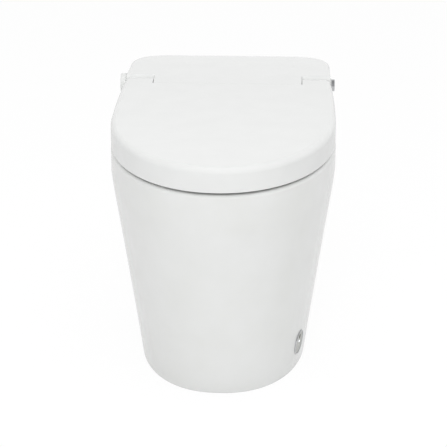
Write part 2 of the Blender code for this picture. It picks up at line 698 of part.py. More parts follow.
def ceramic_body():
    """Pedestal, rim, bowl, trapway and rear bay, fired in one piece."""
    levels = [RIM_TOP * share for share in WALL_LEVELS]
    heights = [0.0, FOOT_ROUND] + levels + [RIM_TOP - RIM_ROUND]
    insets = [FOOT_ROUND] + [0.0] * (len(heights) - 1)
    for step in range(1, ROUND_STEPS + 1):
        angle = math.pi / 2 * step / ROUND_STEPS
        heights.append(RIM_TOP - RIM_ROUND + RIM_ROUND * math.sin(angle))
        insets.append(RIM_ROUND - RIM_ROUND * math.cos(angle))
    body = loft("ceramic_body", [wall_ring(z, inset) for z, inset in zip(heights, insets)])

    rings = [[(x, y, -OVERRUN) for x, y, z in wall_ring(0.0, CERAMIC_WALL + FOOT_ROUND)]]
    void_heights = [RIM_TOP * share for share in VOID_LEVELS] + [VOID_TOP]
    rings += [wall_ring(z, CERAMIC_WALL + FOOT_ROUND * (z == 0)) for z in void_heights]
    void = loft("void", rings)
    bay_wall = block("bay_wall", (-BAY_HALF - CERAMIC_WALL, BAY_FRONT_Y - CERAMIC_WALL, BAY_FLOOR - CERAMIC_WALL),
                     (BAY_HALF + CERAMIC_WALL, BACK_Y, RIM_TOP))
    window_wall = block("window_wall", (-WINDOW_HALF - CERAMIC_WALL, BOWL_Y, WINDOW_FLOOR - CERAMIC_WALL),
                        (WINDOW_HALF + CERAMIC_WALL, BAY_BACK_Y, RIM_TOP))
    cut(void, bowl("bowl_wall", CERAMIC_WALL), waterway("trap_wall", TRAP_ROUTE, TRAP_BORE + CERAMIC_WALL, SPIGOT),
        bay_wall, window_wall)
    cut(body, void)

    cut(body, bowl("bowl_hollow", 0.0), waterway("trap_hollow", TRAP_ROUTE, TRAP_BORE, SPIGOT + OVERRUN))
    cut(body, block("bay", (-BAY_HALF, BAY_FRONT_Y, BAY_FLOOR), (BAY_HALF, BAY_BACK_Y, RIM_TOP + OVERRUN), RIM_ROUND))
    cut(body, block("window", (-WINDOW_HALF, SUMP_Y, WINDOW_FLOOR),
                    (WINDOW_HALF, BAY_FRONT_Y + OVERRUN, RIM_TOP + OVERRUN), WINDOW_ROUND))
    cut(body, block("service", (-SERVICE_HALF, BAY_BACK_Y - BAY_HALF / 2, -SERVICE_TOP),
                    (SERVICE_HALF, BACK_Y + OVERRUN, SERVICE_TOP), SERVICE_ROUND))
    for x, radius in ((INLET_X, INLET_R), (GLAND_X, GLAND_R)):
        cut(body, rod("pipe_hole", radius + RUNNING, (x, BAY_BACK_Y - OVERRUN, PIPE_Z),
                      (x, BACK_Y + OVERRUN, PIPE_Z)))
    for side in (-1, 1):
        x, y = side * DECK_BOLT_AT[0], DECK_BOLT_AT[1]
        cut(body, rod("deck_hole", DECK_BOLT_R + RUNNING, (x, y, VOID_TOP - OVERRUN), (x, y, RIM_TOP + OVERRUN)))
        cut(body, rod("side_hole", SIDE_BOLT_R + RUNNING, (side * FOOT_REAR_HALF / 2, BRACKET_Y, SIDE_BOLT_Z),
                      (side * RIM_HALF, BRACKET_Y, SIDE_BOLT_Z)),
            rod("cap_seat", SIDE_CAP_R + GAP, (side * cap_seat_x(), BRACKET_Y, SIDE_BOLT_Z),
                (side * RIM_HALF, BRACKET_Y, SIDE_BOLT_Z)))
    frame = sensor_frame()
    cut(body, oval("sensor_seat", SENSOR_HALF[0] + GAP, SENSOR_HALF[1] + GAP, -SENSOR_SEAT, OVERRUN, frame),
        oval("sensor_hole", SENSOR_CASE[0] + RUNNING, SENSOR_CASE[1] + RUNNING, -2 * CERAMIC_WALL, 0.0, frame))
    return finish(tidy(body), "vitreous_glaze")


def side_x(y, z):
    """Half width of the pedestal's side at a place behind its widest point."""
    halves = []
    for half, rear_half, widest_y, back_y, corner in (
            (FOOT_HALF, FOOT_REAR_HALF, FOOT_WIDEST_Y, FOOT_BACK_Y, FOOT_CORNER),
            (RIM_HALF, RIM_REAR_HALF, WIDEST_Y, BACK_Y, RIM_CORNER)):
        along = (y - widest_y) / (back_y - corner - widest_y)
        halves.append(half - (half - rear_half) * along ** SIDE_POWER)
    return halves[0] + (halves[1] - halves[0]) * wall_share(z)


def cap_seat_x():
    """Where the flat seat of a side cap lies, just inside the wall's lowest rear edge there."""
    return side_x(BRACKET_Y + SIDE_CAP_R, SIDE_BOLT_Z - SIDE_CAP_R) - GAP


def outlet():
    """Adaptor from the ceramic's spigot to the floor, the rubber in its socket, and the floor seal."""
    outer = TRAP_BORE + OUTLET_WALL
    spigot = TRAP_BORE + CERAMIC_WALL
    socket = spigot + GAP + SOCKET_RUBBER + GAP
    upright = axis_place((0, 0, 1), (0, SPIGOT_Y, 0))
    shelf = SPIGOT_Z - GAP - OUTLET_WALL
    adaptor = outlet_pipe("outlet_adaptor", outer, GAP, SPIGOT_Z - GAP)
    weld(adaptor, turned("socket", ((socket + OUTLET_WALL, shelf), (socket + OUTLET_WALL, SPIGOT_Z + SOCKET_HEIGHT)),
                         upright, TURN_STEPS))
    lip = SEAL_HEIGHT / 4
    floor_end = axis_place((0, 0, 1), (0, OUTLET_Y, 0))
    weld(adaptor, turned("flange", ((SEAL_R - lip, SEAL_HEIGHT + GAP), (SEAL_R - lip, SEAL_HEIGHT + OUTLET_WALL)),
                         floor_end, TURN_STEPS))
    cut(adaptor, outlet_pipe("bore", TRAP_BORE, -OVERRUN, SPIGOT_Z + OVERRUN))
    cut(adaptor, turned("rubber_room", ((socket, SPIGOT_Z - GAP), (socket, SPIGOT_Z + SOCKET_HEIGHT + OVERRUN)),
                        upright, TURN_STEPS))
    finish(tidy(adaptor), "white_satin_plastic")
    rubber = turned("spigot_rubber", ((socket - GAP, SPIGOT_Z), (socket - GAP, SPIGOT_Z + SOCKET_HEIGHT)), upright,
                    TURN_STEPS)
    hole = (spigot + GAP) / math.cos(math.pi / TURN_STEPS)
    cut(rubber, turned("hole", ((hole, SPIGOT_Z - OVERRUN), (hole, SPIGOT_Z + SOCKET_HEIGHT + OVERRUN)), upright,
                       TURN_STEPS))
    finish(tidy(rubber), "rubber")
    ring = turned("outlet_seal", ((SEAL_R, 0.0), (SEAL_R, lip), (SEAL_R - lip, SEAL_HEIGHT)), floor_end, TURN_STEPS)
    cut(ring, outlet_pipe("bore", outer + RUNNING, -OVERRUN, SPIGOT_Z))
    return finish(tidy(ring), "rubber")


def floor_fixing(side, word):
    """Bracket on the floor inside the skirt, the bolt through the wall, and the cap over it."""
    outer = cap_seat_x()
    low_y, high_y = BRACKET_Y - BRACKET_LENGTH / 2, BRACKET_Y + BRACKET_LENGTH / 2
    face = side_x(high_y, 0.0) - CERAMIC_WALL - FOOT_ROUND - RUNNING
    upright = sorted((side * face, side * (face - BRACKET_THICK)))
    foot = sorted((side * face, side * (face - BRACKET_FOOT)))
    bracket = block("floor_bracket_" + word, (upright[0], low_y, 0.0), (upright[1], high_y, BRACKET_HEIGHT))
    weld(bracket, block("foot", (foot[0], low_y, 0.0), (foot[1], high_y, BRACKET_THICK)))
    middle = side * (face - BRACKET_FOOT / 2)
    cut(bracket, rod("bolt_hole", SIDE_BOLT_R + RUNNING, (side * (face + OVERRUN), BRACKET_Y, SIDE_BOLT_Z),
                     (side * (face - OVERRUN), BRACKET_Y, SIDE_BOLT_Z)),
        rod("floor_hole", SIDE_BOLT_R + RUNNING, (middle, BRACKET_Y, -OVERRUN),
            (middle, BRACKET_Y, BRACKET_THICK + OVERRUN)))
    finish(tidy(bracket), "steel")
    out = (side, 0, 0)
    bolt = rod("side_bolt_" + word, SIDE_BOLT_R, (side * (face - BRACKET_FOOT / 3), BRACKET_Y, SIDE_BOLT_Z),
               (side * outer, BRACKET_Y, SIDE_BOLT_Z))
    finish(tidy(bolt), "steel")
    cap = button("side_cap_" + word, SIDE_CAP_R, SIDE_CAP_THICK, SIDE_CAP_THICK / 2,
                 axis_place(out, (side * (outer + GAP), BRACKET_Y, SIDE_BOLT_Z)))
    finish(cap, "white_gloss_plastic")


def foot_sensor():
    """Bezel, plate, lens and lamp in an oval recess, with a case behind the wall."""
    frame = sensor_frame()
    half_x, half_y = SENSOR_HALF
    floor = -SENSOR_SEAT + GAP
    front = SENSOR_PROUD
    bezel = oval("foot_sensor_bezel", half_x, half_y, floor, front, frame, SENSOR_RIM / 2)
    cut(bezel, oval("hole", half_x - SENSOR_RIM, half_y - SENSOR_RIM, floor - OVERRUN, front + OVERRUN, frame))
    finish(tidy(bezel), "chrome")
    plate_top = front - SENSOR_RIM / 2
    plate = oval("foot_sensor_plate", half_x - SENSOR_RIM - GAP, half_y - SENSOR_RIM - GAP, floor, plate_top, frame)
    spots = (("foot_sensor_lens", LENS_RISE, LENS_R, "clear_lens"),
             ("foot_sensor_lamp", LAMP_RISE, LAMP_R, "lamp_white"))
    for name, rise, radius, look in spots:
        hole = turned("hole", ((radius + GAP, floor - OVERRUN), (radius + GAP, front + OVERRUN)),
                      frame @ Matrix.Translation((0, rise, 0)))
        cut(plate, hole)
        dome = turned(name, ((radius, floor), (radius, plate_top), (radius / 2, plate_top + SENSOR_RIM / 4)),
                      frame @ Matrix.Translation((0, rise, 0)))
        finish(dome, look)
    finish(tidy(plate), "grey_plastic")
    case = oval("foot_sensor_case", *SENSOR_CASE, -SENSOR_CASE_DEEP, floor - GAP, frame)
    finish(case, "black_plastic")


def lid_plan(inset):
    return plan(LID_HALF - inset, LID_DEPTH - inset, WIDEST_Y, LID_REAR_HALF - inset, HINGE_Y + EAR_R + OVERRUN,
                OVERRUN / 5, FRONT_POWER)


def lid_solid(name, inset, under, top, rounding):
    """The lid's outer form, or its hollow, before its ears are shaped."""
    rings = [[(x, y, under) for x, y in lid_plan(inset)]]
    for step in range(ROUND_STEPS + 2):
        angle = math.pi / 2 * step / (ROUND_STEPS + 1)
        ring = lid_plan(inset + rounding * (1 - math.cos(angle)))
        rings.append([(x, y, top - rounding + rounding * math.sin(angle)) for x, y in ring])
    return loft(name, rings)


def lid():
    """A deep-skirted shell with two hollow ears round the hinge line."""
    under = LID_TOP - LID_SKIRT
    shell = lid_solid("lid_shell", 0.0, under, LID_TOP, LID_ROUND)
    low = under - OVERRUN
    front = FRONT_Y - OVERRUN
    side = [(front, low), (HINGE_Y + EAR_R / 3, low)] + [(y, z) for y, z in reversed(arc_x(EAR_R, 90, 250, 12))]
    side += [(HINGE_Y, LID_TOP + OVERRUN), (front, LID_TOP + OVERRUN)]
    keep(shell, prism_x("side_form", side, -LID_HALF - OVERRUN, LID_HALF + OVERRUN))
    notch_half = TONGUE_HALF + SLOT
    behind = HINGE_Y + 2 * EAR_R
    notch = [(HINGE_Y - JOINT_R, low - OVERRUN)] + arc_x(JOINT_R, 0, 60, 8)
    notch += [(behind, notch[-1][1]), (behind, low - OVERRUN)]
    cut(shell, prism_x("tongue_notch", notch, -notch_half, notch_half))

    hollow = lid_solid("hollow", LID_WALL, low, LID_TOP - LID_WALL, LID_ROUND - LID_WALL)
    reach = HINGE_Y - JOINT_R
    keep(hollow, block("front_part", (-LID_HALF, front, low - OVERRUN), (LID_HALF, reach, LID_TOP + OVERRUN)))
    inner = notch_half + LID_WALL
    outer = LID_REAR_HALF - LID_WALL
    cut(shell, hollow, block("rear_part", (-outer, reach - OVERRUN, low),
                             (outer, HINGE_Y - EAR_R * 1.2, LID_TOP - LID_WALL)))
    room_r = SEAT_EAR_R + 2 * RUNNING
    for way in (-1, 1):
        ends = sorted((way * inner, way * outer))
        room = arc_x(room_r, 60, 215, 10)
        room += [(HINGE_Y, low), (reach - GAP, low), (reach - GAP, room[0][1])]
        cut(shell, prism_x("ear_room", room, *ends))
        cut(shell, rod("shaft_hole", SHAFT_R + GAP, (way * (notch_half - OVERRUN), HINGE_Y, HINGE_Z),
                       (way * (LID_REAR_HALF - LID_WALL / 3), HINGE_Y, HINGE_Z)))
    finish(tidy(shell), "white_gloss_plastic")

    hung = [shell]
    for way, word in ((-1, "left"), (1, "right")):
        shaft = rod("lid_hinge_shaft_" + word, SHAFT_R, (way * (TONGUE_HALF - PLASTIC_WALL + GAP), HINGE_Y, HINGE_Z),
                    (way * (LID_REAR_HALF - LID_WALL / 3 - GAP), HINGE_Y, HINGE_Z))
        hung.append(finish(shaft, "steel"))
        spot = Vector((way * LID_HALF * 0.66, WIDEST_Y, LID_TOP - LID_WALL - GAP))
        buffer = button("lid_buffer_" + word, LID_BUFFER_R, spot.z - SEAT_CROWN - 2 * GAP,
                        LID_BUFFER_R / 5, axis_place((0, 0, -1), spot))
        hung.append(finish(buffer, "soft_rubber"))
    carry(pivot("lid_hinge_line", (0, HINGE_Y, HINGE_Z)), *hung)


def seat_outline():
    return plan(LID_HALF - SEAT_INSET, LID_DEPTH - SEAT_INSET, WIDEST_Y, LID_REAR_HALF - SEAT_INSET, SEAT_REAR_Y,
                SEAT_EDGE, FRONT_POWER)


def hole_point(x, y):
    """The point on the edge of the seat's hole that faces an outline point."""
    way_x, way_y = x, y - SEAT_HOLE_Y
    scale = (abs(way_x / SEAT_HOLE_HALF) ** SEAT_HOLE_POWER
             + abs(way_y / SEAT_HOLE_REACH) ** SEAT_HOLE_POWER) ** (-1 / SEAT_HOLE_POWER)
    return way_x * scale, SEAT_HOLE_Y + way_y * scale


def seat():
    """A dished ring with a hinge barrel at each rear corner."""
    outline = seat_outline()
    hole = [hole_point(x, y) for x, y in outline]
    rings = []
    for share, thick, dish, edge in SEAT_SECTION_SHARES:
        z = SEAT_UNDER + SEAT_THICK * thick + SEAT_DISH * dish + SEAT_EDGE * edge
        rings.append([(x + (hole_x - x) * share, y + (hole_y - y) * share, z)
                      for (x, y), (hole_x, hole_y) in zip(outline, hole)])
    ring = loft("seat_ring", rings, closed=True)
    inner = TONGUE_HALF + SLOT + LID_WALL + RUNNING
    outer = LID_REAR_HALF - LID_WALL - RUNNING
    for way in (-1, 1):
        ends = (way * inner, way * outer)
        weld(ring, rod("barrel", SEAT_EAR_R, (ends[0], HINGE_Y, HINGE_Z), (ends[1], HINGE_Y, HINGE_Z), TURN_STEPS))
        low, high = sorted(ends)
        arm_low = HINGE_Z - SEAT_EAR_R * 0.72
        arm_high = HINGE_Z + SEAT_EAR_R * 0.60
        arm = [(HINGE_Y, arm_low), (HINGE_Y, arm_high), (SEAT_REAR_Y - SEAT_EDGE, arm_high - SEAT_EDGE / 2),
               (SEAT_REAR_Y - SEAT_EDGE, arm_low)]
        weld(ring, prism_x("arm", arm, low, high))
        cut(ring, rod("shaft_hole", SHAFT_R + GAP, (ends[0] - way * OVERRUN, HINGE_Y, HINGE_Z),
                      (ends[1] + way * OVERRUN, HINGE_Y, HINGE_Z)))
    finish(tidy(ring), "white_gloss_plastic")

    hung = [ring]
    length, width = SEAT_BUFFER
    for end, (half_x, y) in (("front", SEAT_BUFFER_FRONT), ("rear", SEAT_BUFFER_REAR)):
        for way, side in ((-1, "left"), (1, "right")):
            x = way * half_x
            pad = block("seat_buffer_" + end + "_" + side, (x - width / 2, y - length / 2, RIM_TOP + GAP),
                        (x + width / 2, y + length / 2, SEAT_UNDER - GAP), width / 6)
            hung.append(finish(pad, "soft_rubber"))
    carry(pivot("seat_hinge_line", (0, HINGE_Y, HINGE_Z)), *hung)


def house_plan(inset):
    """The housing from above: a tongue between two pockets, and rounded rear corners."""
    front = HINGE_Y - JOINT_R + RUNNING + inset
    side = TONGUE_HALF - inset
    pocket = POCKET_Y + inset + POCKET_LEAN * (inset > 0)
    half = HOUSE_HALF - inset
    back = BACK_Y - inset
    corner = HOUSE_CORNER - inset
    points = [(0.0, front), (side / 2, front), (side, front), (side, (front + pocket) / 2), (side, pocket)]
    points += [((side + half) / 2, pocket), (half, pocket)]
    for step in range(1, SIDE_STEPS):
        points.append((half, pocket + (back - corner - pocket) * step / SIDE_STEPS))
    for step in range(CORNER_STEPS + 1):
        angle = math.pi / 2 * step / CORNER_STEPS
        points.append((half - corner + corner * math.cos(angle), back - corner + corner * math.sin(angle)))
    points.append((0.0, back))
    return mirrored(points)


def house_top(y):
    """The cover is level over the tongue and falls gently to the back."""
    fall = max(0.0, (y - POCKET_Y) / (BACK_Y - POCKET_Y))
    return LID_TOP - (LID_TOP - HOUSE_BACK_TOP) * fall ** 2


def house_solid(name, inset, under, drop):
    """The cover's outer form, or its hollow. Its edge is round at the sides and back only."""
    rings = [[(x, y, under) for x, y in house_plan(inset)]]
    for step in range(ROUND_STEPS + 2):
        angle = math.pi / 2 * step / (ROUND_STEPS + 1)
        ring = []
        for x, y in house_plan(inset):
            reach = min(1.0, max(0.0, (y - inset - POCKET_Y - GAP) / HOUSE_CORNER))
            radius = HOUSE_NICK + (HOUSE_ROUND - HOUSE_NICK) * reach
            pull = radius * (1 - math.cos(angle))
            rise = house_top(y) - drop - radius + radius * math.sin(angle)
            centre_y = (POCKET_Y + BACK_Y) / 2
            half = HOUSE_HALF - inset
            shift_x = -math.copysign(pull, x) * min(1.0, abs(x) / half) ** 4 if y > POCKET_Y else 0.0
            shift_y = -pull * max(0.0, (y - centre_y) / (BACK_Y - inset - centre_y)) ** 4
            ring.append((x + shift_x, y + shift_y, rise))
        rings.append(ring)
    return loft(name, rings)


def housing_cover():
    """The shell over the rear housing."""
    under = RIM_TOP + GAP
    cover = house_solid("housing_cover", 0.0, under, 0.0)
    front = HINGE_Y - JOINT_R + RUNNING
    relief = [(front - OVERRUN, HINGE_Z)] + arc_x(JOINT_R - RUNNING, 0, 60, 8)
    relief += [(relief[-1][0], LID_TOP + 2 * OVERRUN), (front - OVERRUN, LID_TOP + 2 * OVERRUN)]
    cut(cover, prism_x("nose_relief", relief, -HOUSE_HALF, HOUSE_HALF))
    rise = 2 * (LID_TOP - HINGE_Z)
    lean = [(POCKET_Y - OVERRUN, HINGE_Z), (POCKET_Y, HINGE_Z), (POCKET_Y + 2 * POCKET_LEAN, HINGE_Z + rise),
            (POCKET_Y - OVERRUN, HINGE_Z + rise)]
    for way in (-1, 1):
        ends = sorted((way * (TONGUE_HALF + SLOT / 2), way * (HOUSE_HALF + OVERRUN)))
        cut(cover, prism_x("pocket_lean", lean, *ends))
    hollow = house_solid("hollow", PLASTIC_WALL, under - OVERRUN, PLASTIC_WALL)
    cut(cover, hollow)
    cut(cover, block("mouth", (-MOUTH_HALF, front - OVERRUN, under - OVERRUN),
                     (MOUTH_HALF, APRON_Y + 2 * PLASTIC_WALL, MOUTH_TOP)))
    for way in (-1, 1):
        cut(cover, rod("shaft_hole", SHAFT_R + RUNNING, (way * (TONGUE_HALF - 2 * PLASTIC_WALL), HINGE_Y, HINGE_Z),
                       (way * (TONGUE_HALF + OVERRUN), HINGE_Y, HINGE_Z)))
    wall = HOUSE_HALF - 2 * PLASTIC_WALL
    cut(cover, rod("spindle_hole", DIAL_SPINDLE_R + RUNNING, (-wall, CONTROL_Y, CONTROL_Z),
                   (-HOUSE_HALF - OVERRUN, CONTROL_Y, CONTROL_Z)))
    cut(cover, rod("knob_hole", KNOB_R + RUNNING, (wall, CONTROL_Y, CONTROL_Z),
                   (HOUSE_HALF + OVERRUN, CONTROL_Y, CONTROL_Z), TURN_STEPS))
    return finish(tidy(cover), "white_gloss_plastic")


def slab(name, outline, low, high):
    return loft(name, [[(x, y, z) for x, y in outline] for z in (low, high)])


def slope_slot(name, half, rise, centre_x, start, end):
    """A square cutter along the slope of the wands."""
    return block(name, (centre_x - half, start, -rise), (centre_x + half, end, rise), 0.0, SLOPE)


def in_housing(shares):
    """Left edge, front edge, width and length of a unit in the housing, from its shares."""
    left, width, front, length = shares
    return HOUSE_HALF * left, HINGE_Y + HOUSE_DEPTH * front, HOUSE_HALF * width, HOUSE_DEPTH * length


def housing_base():
    """Gasket, tray with its apron and bosses, and the deck bolts."""
    low = RIM_TOP + GAP
    rim = PLASTIC_WALL + RUNNING
    gasket = slab("deck_gasket", house_plan(rim), low, low + GASKET)
    cut(gasket, block("mouth", (-MOUTH_HALF, FRONT_Y, low - OVERRUN),
                      (MOUTH_HALF, BAY_BACK_Y - CERAMIC_WALL, low + OVERRUN)))
    tray = slab("housing_base", house_plan(rim), TRAY_Z, TRAY_TOP)
    cut(tray, block("clear_of_cover", (-MOUTH_HALF - RUNNING, FRONT_Y, TRAY_Z - OVERRUN),
                    (MOUTH_HALF + RUNNING, APRON_Y + PLASTIC_WALL / 2, TRAY_TOP + OVERRUN)))
    apron_half = WINDOW_HALF - WINDOW_ROUND - GAP
    weld(tray, block("apron", (-apron_half, APRON_Y, WINDOW_FLOOR + RUNNING),
                     (apron_half, APRON_Y + PLASTIC_WALL, MOUTH_TOP - RUNNING)))
    board_x, board_y, width, length = in_housing(BOARD_SHARES)
    for x in (board_x + BOSS_INSET, board_x + width - BOSS_INSET):
        for y in (board_y + BOSS_INSET, board_y + length - BOSS_INSET):
            weld(tray, rod("boss", BOSS_R, (x, y, TRAY_Z + PLASTIC_WALL / 2), (x, y, TRAY_TOP + BOARD_RISE - GAP)))
    cut(tray, rod("hose_hole", HOSE_R + 3 * RUNNING, (JET_X, APRON_Y - OVERRUN, HOSE_Z),
                  (JET_X, APRON_Y + OVERRUN, HOSE_Z)))
    cut(tray, slope_slot("guard_slot", GUARD_HALF + GAP, GUARD_RISE + GAP, 0.0, -OVERRUN, GUIDE_END + 2 * OVERRUN))
    cut(tray, slope_slot("duct_slot", DUCT_HALF + GAP, DUCT_RISE + GAP, DUCT_X, -OVERRUN, DUCT_END))
    for side, word in ((-1, "left"), (1, "right")):
        x, y = side * DECK_BOLT_AT[0], DECK_BOLT_AT[1]
        for sheet in (gasket, tray):
            cut(sheet, rod("bolt_hole", DECK_BOLT_R + RUNNING, (x, y, low - OVERRUN), (x, y, TRAY_TOP + OVERRUN)))
        top = TRAY_TOP + GAP
        bolt = turned("deck_bolt_" + word, ((DECK_BOLT_R, top - DECK_BOLT_LENGTH), (DECK_BOLT_R, top),
                                            (DECK_BOLT_HEAD_R, top), (DECK_BOLT_HEAD_R, top + DECK_BOLT_HEAD)),
                      axis_place((0, 0, 1), (x, y, 0)))
        finish(tidy(bolt), "steel")
    finish(tidy(gasket), "soft_rubber")
    return finish(tidy(tray), "white_satin_plastic")


def hinge_damper(side, word):
    """A rotary damper under the tongue, in a saddle on the tray."""
    radius = SHAFT_R * 3
    near = TONGUE_HALF - PLASTIC_WALL - GAP
    far = near - radius * 2.6
    damper = rod("hinge_damper_" + word, radius, (side * near, HINGE_Y, HINGE_Z), (side * far, HINGE_Y, HINGE_Z))
    low, high = sorted((side * near, side * far))
    weld(damper, block("saddle", (low, HINGE_Y - radius * 0.8, TRAY_TOP + GAP),
                       (high, HINGE_Y + radius * 0.8, HINGE_Z)))
    cut(damper, rod("socket", SHAFT_R + GAP, (side * (near - radius), HINGE_Y, HINGE_Z),
                    (side * (near + OVERRUN), HINGE_Y, HINGE_Z)))
    return finish(tidy(damper), "grey_plastic")


def wash_unit():
    """Nozzle guard, guide, two wands and their motors, all along one slope."""
    guard = block("nozzle_guard", (-GUARD_HALF, 0.0, -GUARD_RISE), (GUARD_HALF, GUARD_LENGTH, GUARD_RISE),
                  GUARD_RISE / 4, SLOPE)
    guide = block("wand_guide", (-GUARD_HALF, GUARD_LENGTH + GAP, -GUARD_RISE),
                  (GUARD_HALF, GUIDE_END, GUARD_RISE / 2), 0.0, SLOPE)
    for x, word in ((-WAND_X, "rear"), (WAND_X, "front")):
        for sleeve in (guard, guide):
            cut(sleeve, turned("bore", ((WAND_R + RUNNING, -OVERRUN), (WAND_R + RUNNING, GUIDE_END + OVERRUN)),
                               SLOPE @ axis_place((0, 1, 0), (x, 0, 0)), TURN_STEPS))
        tip = WAND_R / 2
        profile = ((WAND_R - tip, 0.0), (WAND_R - tip * 0.3, tip * 0.3), (WAND_R, tip), (WAND_R, WAND_LENGTH))
        wand = turned(word + "_wash_wand", profile, SLOPE @ axis_place((0, 1, 0), (x, tip, 0)), TURN_STEPS)
        jet_spots = (2, 3) if word == "rear" else (2, 3, 4)
        for spot in jet_spots:
            cut(wand, turned("jet", ((WAND_R / 8, WAND_R / 2), (WAND_R / 8, WAND_R + OVERRUN)),
                             SLOPE @ Matrix.Translation((x, tip * spot, 0)), 8))
        finish(tidy(wand), "white_satin_plastic")
        carry(pivot(word + "_wand_line", SLOPE @ Vector((x, 0, 0))), wand)
        side = math.copysign(1, x)
        size = MOTOR_BOX
        near = GUARD_HALF + GAP
        low, high = sorted((side * near, side * (near + size[0])))
        motor = block(word + "_wand_motor", (low, GUIDE_END - size[1], -GUARD_RISE),
                      (high, GUIDE_END, size[2] - GUARD_RISE), WAND_R / 6, SLOPE)
        finish(motor, "grey_plastic")
    channel = block("channel", (-GUARD_HALF + WAND_R / 2, GUARD_LENGTH - OVERRUN, 0.0),
                    (GUARD_HALF - WAND_R / 2, GUIDE_END + OVERRUN, 2 * GUARD_RISE), 0.0, SLOPE)
    cut(guide, channel)
    finish(tidy(guard), "white_satin_plastic")
    finish(tidy(guide), "grey_plastic")


def dryer():
    """Duct through the apron, with a flap that hangs on two pins over its mouth."""
    pin_y = DUCT_START - RUNNING - FLAP_THICK
    pin_z = DUCT_RISE - 2 * FLAP_PIN_R
    ear = 2 * FLAP_PIN_R
    duct = block("dryer_duct", (DUCT_X - DUCT_HALF, pin_y - ear, -DUCT_RISE),
                 (DUCT_X + DUCT_HALF, DUCT_END, DUCT_RISE), 0.0, SLOPE)
    inner_half, inner_rise = DUCT_HALF - DUCT_WALL, DUCT_RISE - DUCT_WALL
    cut(duct, slope_slot("air_way", inner_half, inner_rise, DUCT_X, -OVERRUN, DUCT_END + OVERRUN),
        block("under_cheeks", (DUCT_X - 2 * DUCT_HALF, -OVERRUN, -2 * DUCT_RISE),
              (DUCT_X + 2 * DUCT_HALF, DUCT_START, pin_z - ear), 0.0, SLOPE),
        block("between_cheeks", (DUCT_X - inner_half, -OVERRUN, 0.0),
              (DUCT_X + inner_half, DUCT_START + GAP, 2 * DUCT_RISE), 0.0, SLOPE))
    cut(duct, turned("pin_hole", ((FLAP_PIN_R + GAP, -2 * DUCT_HALF), (FLAP_PIN_R + GAP, 2 * DUCT_HALF)),
                     SLOPE @ axis_place((1, 0, 0), (DUCT_X, pin_y, pin_z))))
    finish(tidy(duct), "white_satin_plastic")
    flap_half = inner_half - RUNNING
    flap = block("dryer_flap", (DUCT_X - flap_half, pin_y - FLAP_THICK / 2, -DUCT_RISE),
                 (DUCT_X + flap_half, pin_y + FLAP_THICK / 2, pin_z), 0.0, SLOPE)
    weld(flap, turned("barrel", ((FLAP_PIN_R * 1.4, -flap_half), (FLAP_PIN_R * 1.4, flap_half)),
                      SLOPE @ axis_place((1, 0, 0), (DUCT_X, pin_y, pin_z))),
         turned("pins", ((FLAP_PIN_R, -DUCT_HALF), (FLAP_PIN_R, DUCT_HALF)),
                SLOPE @ axis_place((1, 0, 0), (DUCT_X, pin_y, pin_z))))
    finish(tidy(flap), "white_satin_plastic")
    carry(pivot("flap_line", SLOPE @ Vector((DUCT_X, pin_y, pin_z))), flap)


def blower():
    """A flat scroll housing, open on top, with a bladed fan inside."""
    x, y = BLOWER_AT
    low = TRAY_TOP + GAP
    top = low + BLOWER_HEIGHT
    scroll = rod("blower_housing", BLOWER_R, (x, y, low), (x, y, top), TURN_STEPS)
    mouth = sorted((DUCT_X - DUCT_HALF, DUCT_X + DUCT_HALF))
    front = (SLOPE @ Vector((0, DUCT_END, -DUCT_RISE))).y + RUNNING
    weld(scroll, block("outlet", (mouth[0], front, low), (mouth[1], y, low + 2 * DUCT_RISE)))
    wall = DUCT_WALL
    cut(scroll, rod("chamber", BLOWER_R - wall, (x, y, low + wall), (x, y, top - wall), TURN_STEPS),
        block("throat", (mouth[0] + wall, front - OVERRUN, low + wall),
              (mouth[1] - wall, y, low + 2 * DUCT_RISE - wall)),
        rod("inlet", FAN_R * 0.8, (x, y, top - 2 * wall), (x, y, top + OVERRUN), TURN_STEPS))
    spindle = rod("spindle", SHAFT_R / 2, (x, y, low + wall / 2), (x, y, low + wall + FAN_HEIGHT / 2))
    weld(scroll, spindle)
    finish(tidy(scroll), "grey_plastic")

    base = low + wall + RUNNING
    fan = turned("blower_fan", ((FAN_R, base), (FAN_R, base + wall), (FAN_HUB_R, base + wall),
                                (FAN_HUB_R, base + FAN_HEIGHT)), axis_place((0, 0, 1), (x, y, 0)), TURN_STEPS)
    blades = []
    for number in range(BLADE_COUNT):
        turn = Matrix.Translation((x, y, 0)) @ Matrix.Rotation(2 * math.pi * number / BLADE_COUNT, 4, "Z")
        lean = Matrix.Rotation(math.radians(28), 4, "Z")
        blades.append(block("blade", (-FAN_R * 0.14, -BLADE_THICK / 2, base + wall / 2),
                            (FAN_R * 0.14, BLADE_THICK / 2, base + FAN_HEIGHT), 0.0,
                            turn @ Matrix.Translation((FAN_R * 0.84, 0, 0)) @ lean))
    weld(fan, group("blades", *blades))
    cut(fan, rod("spindle_hole", SHAFT_R / 2 + GAP, (x, y, base - OVERRUN),
                 (x, y, low + wall + FAN_HEIGHT / 2 + GAP)))
    finish(tidy(fan), "black_plastic")
    carry(pivot("fan_line", (x, y, base)), fan)


def seated(name, shares, height, edge, look):
    """A closed unit that stands on the tray."""
    x, y, width, length = in_housing(shares)
    low = TRAY_TOP + GAP
    return finish(block(name, (x, y, low), (x + width, y + length, low + height), edge), look)


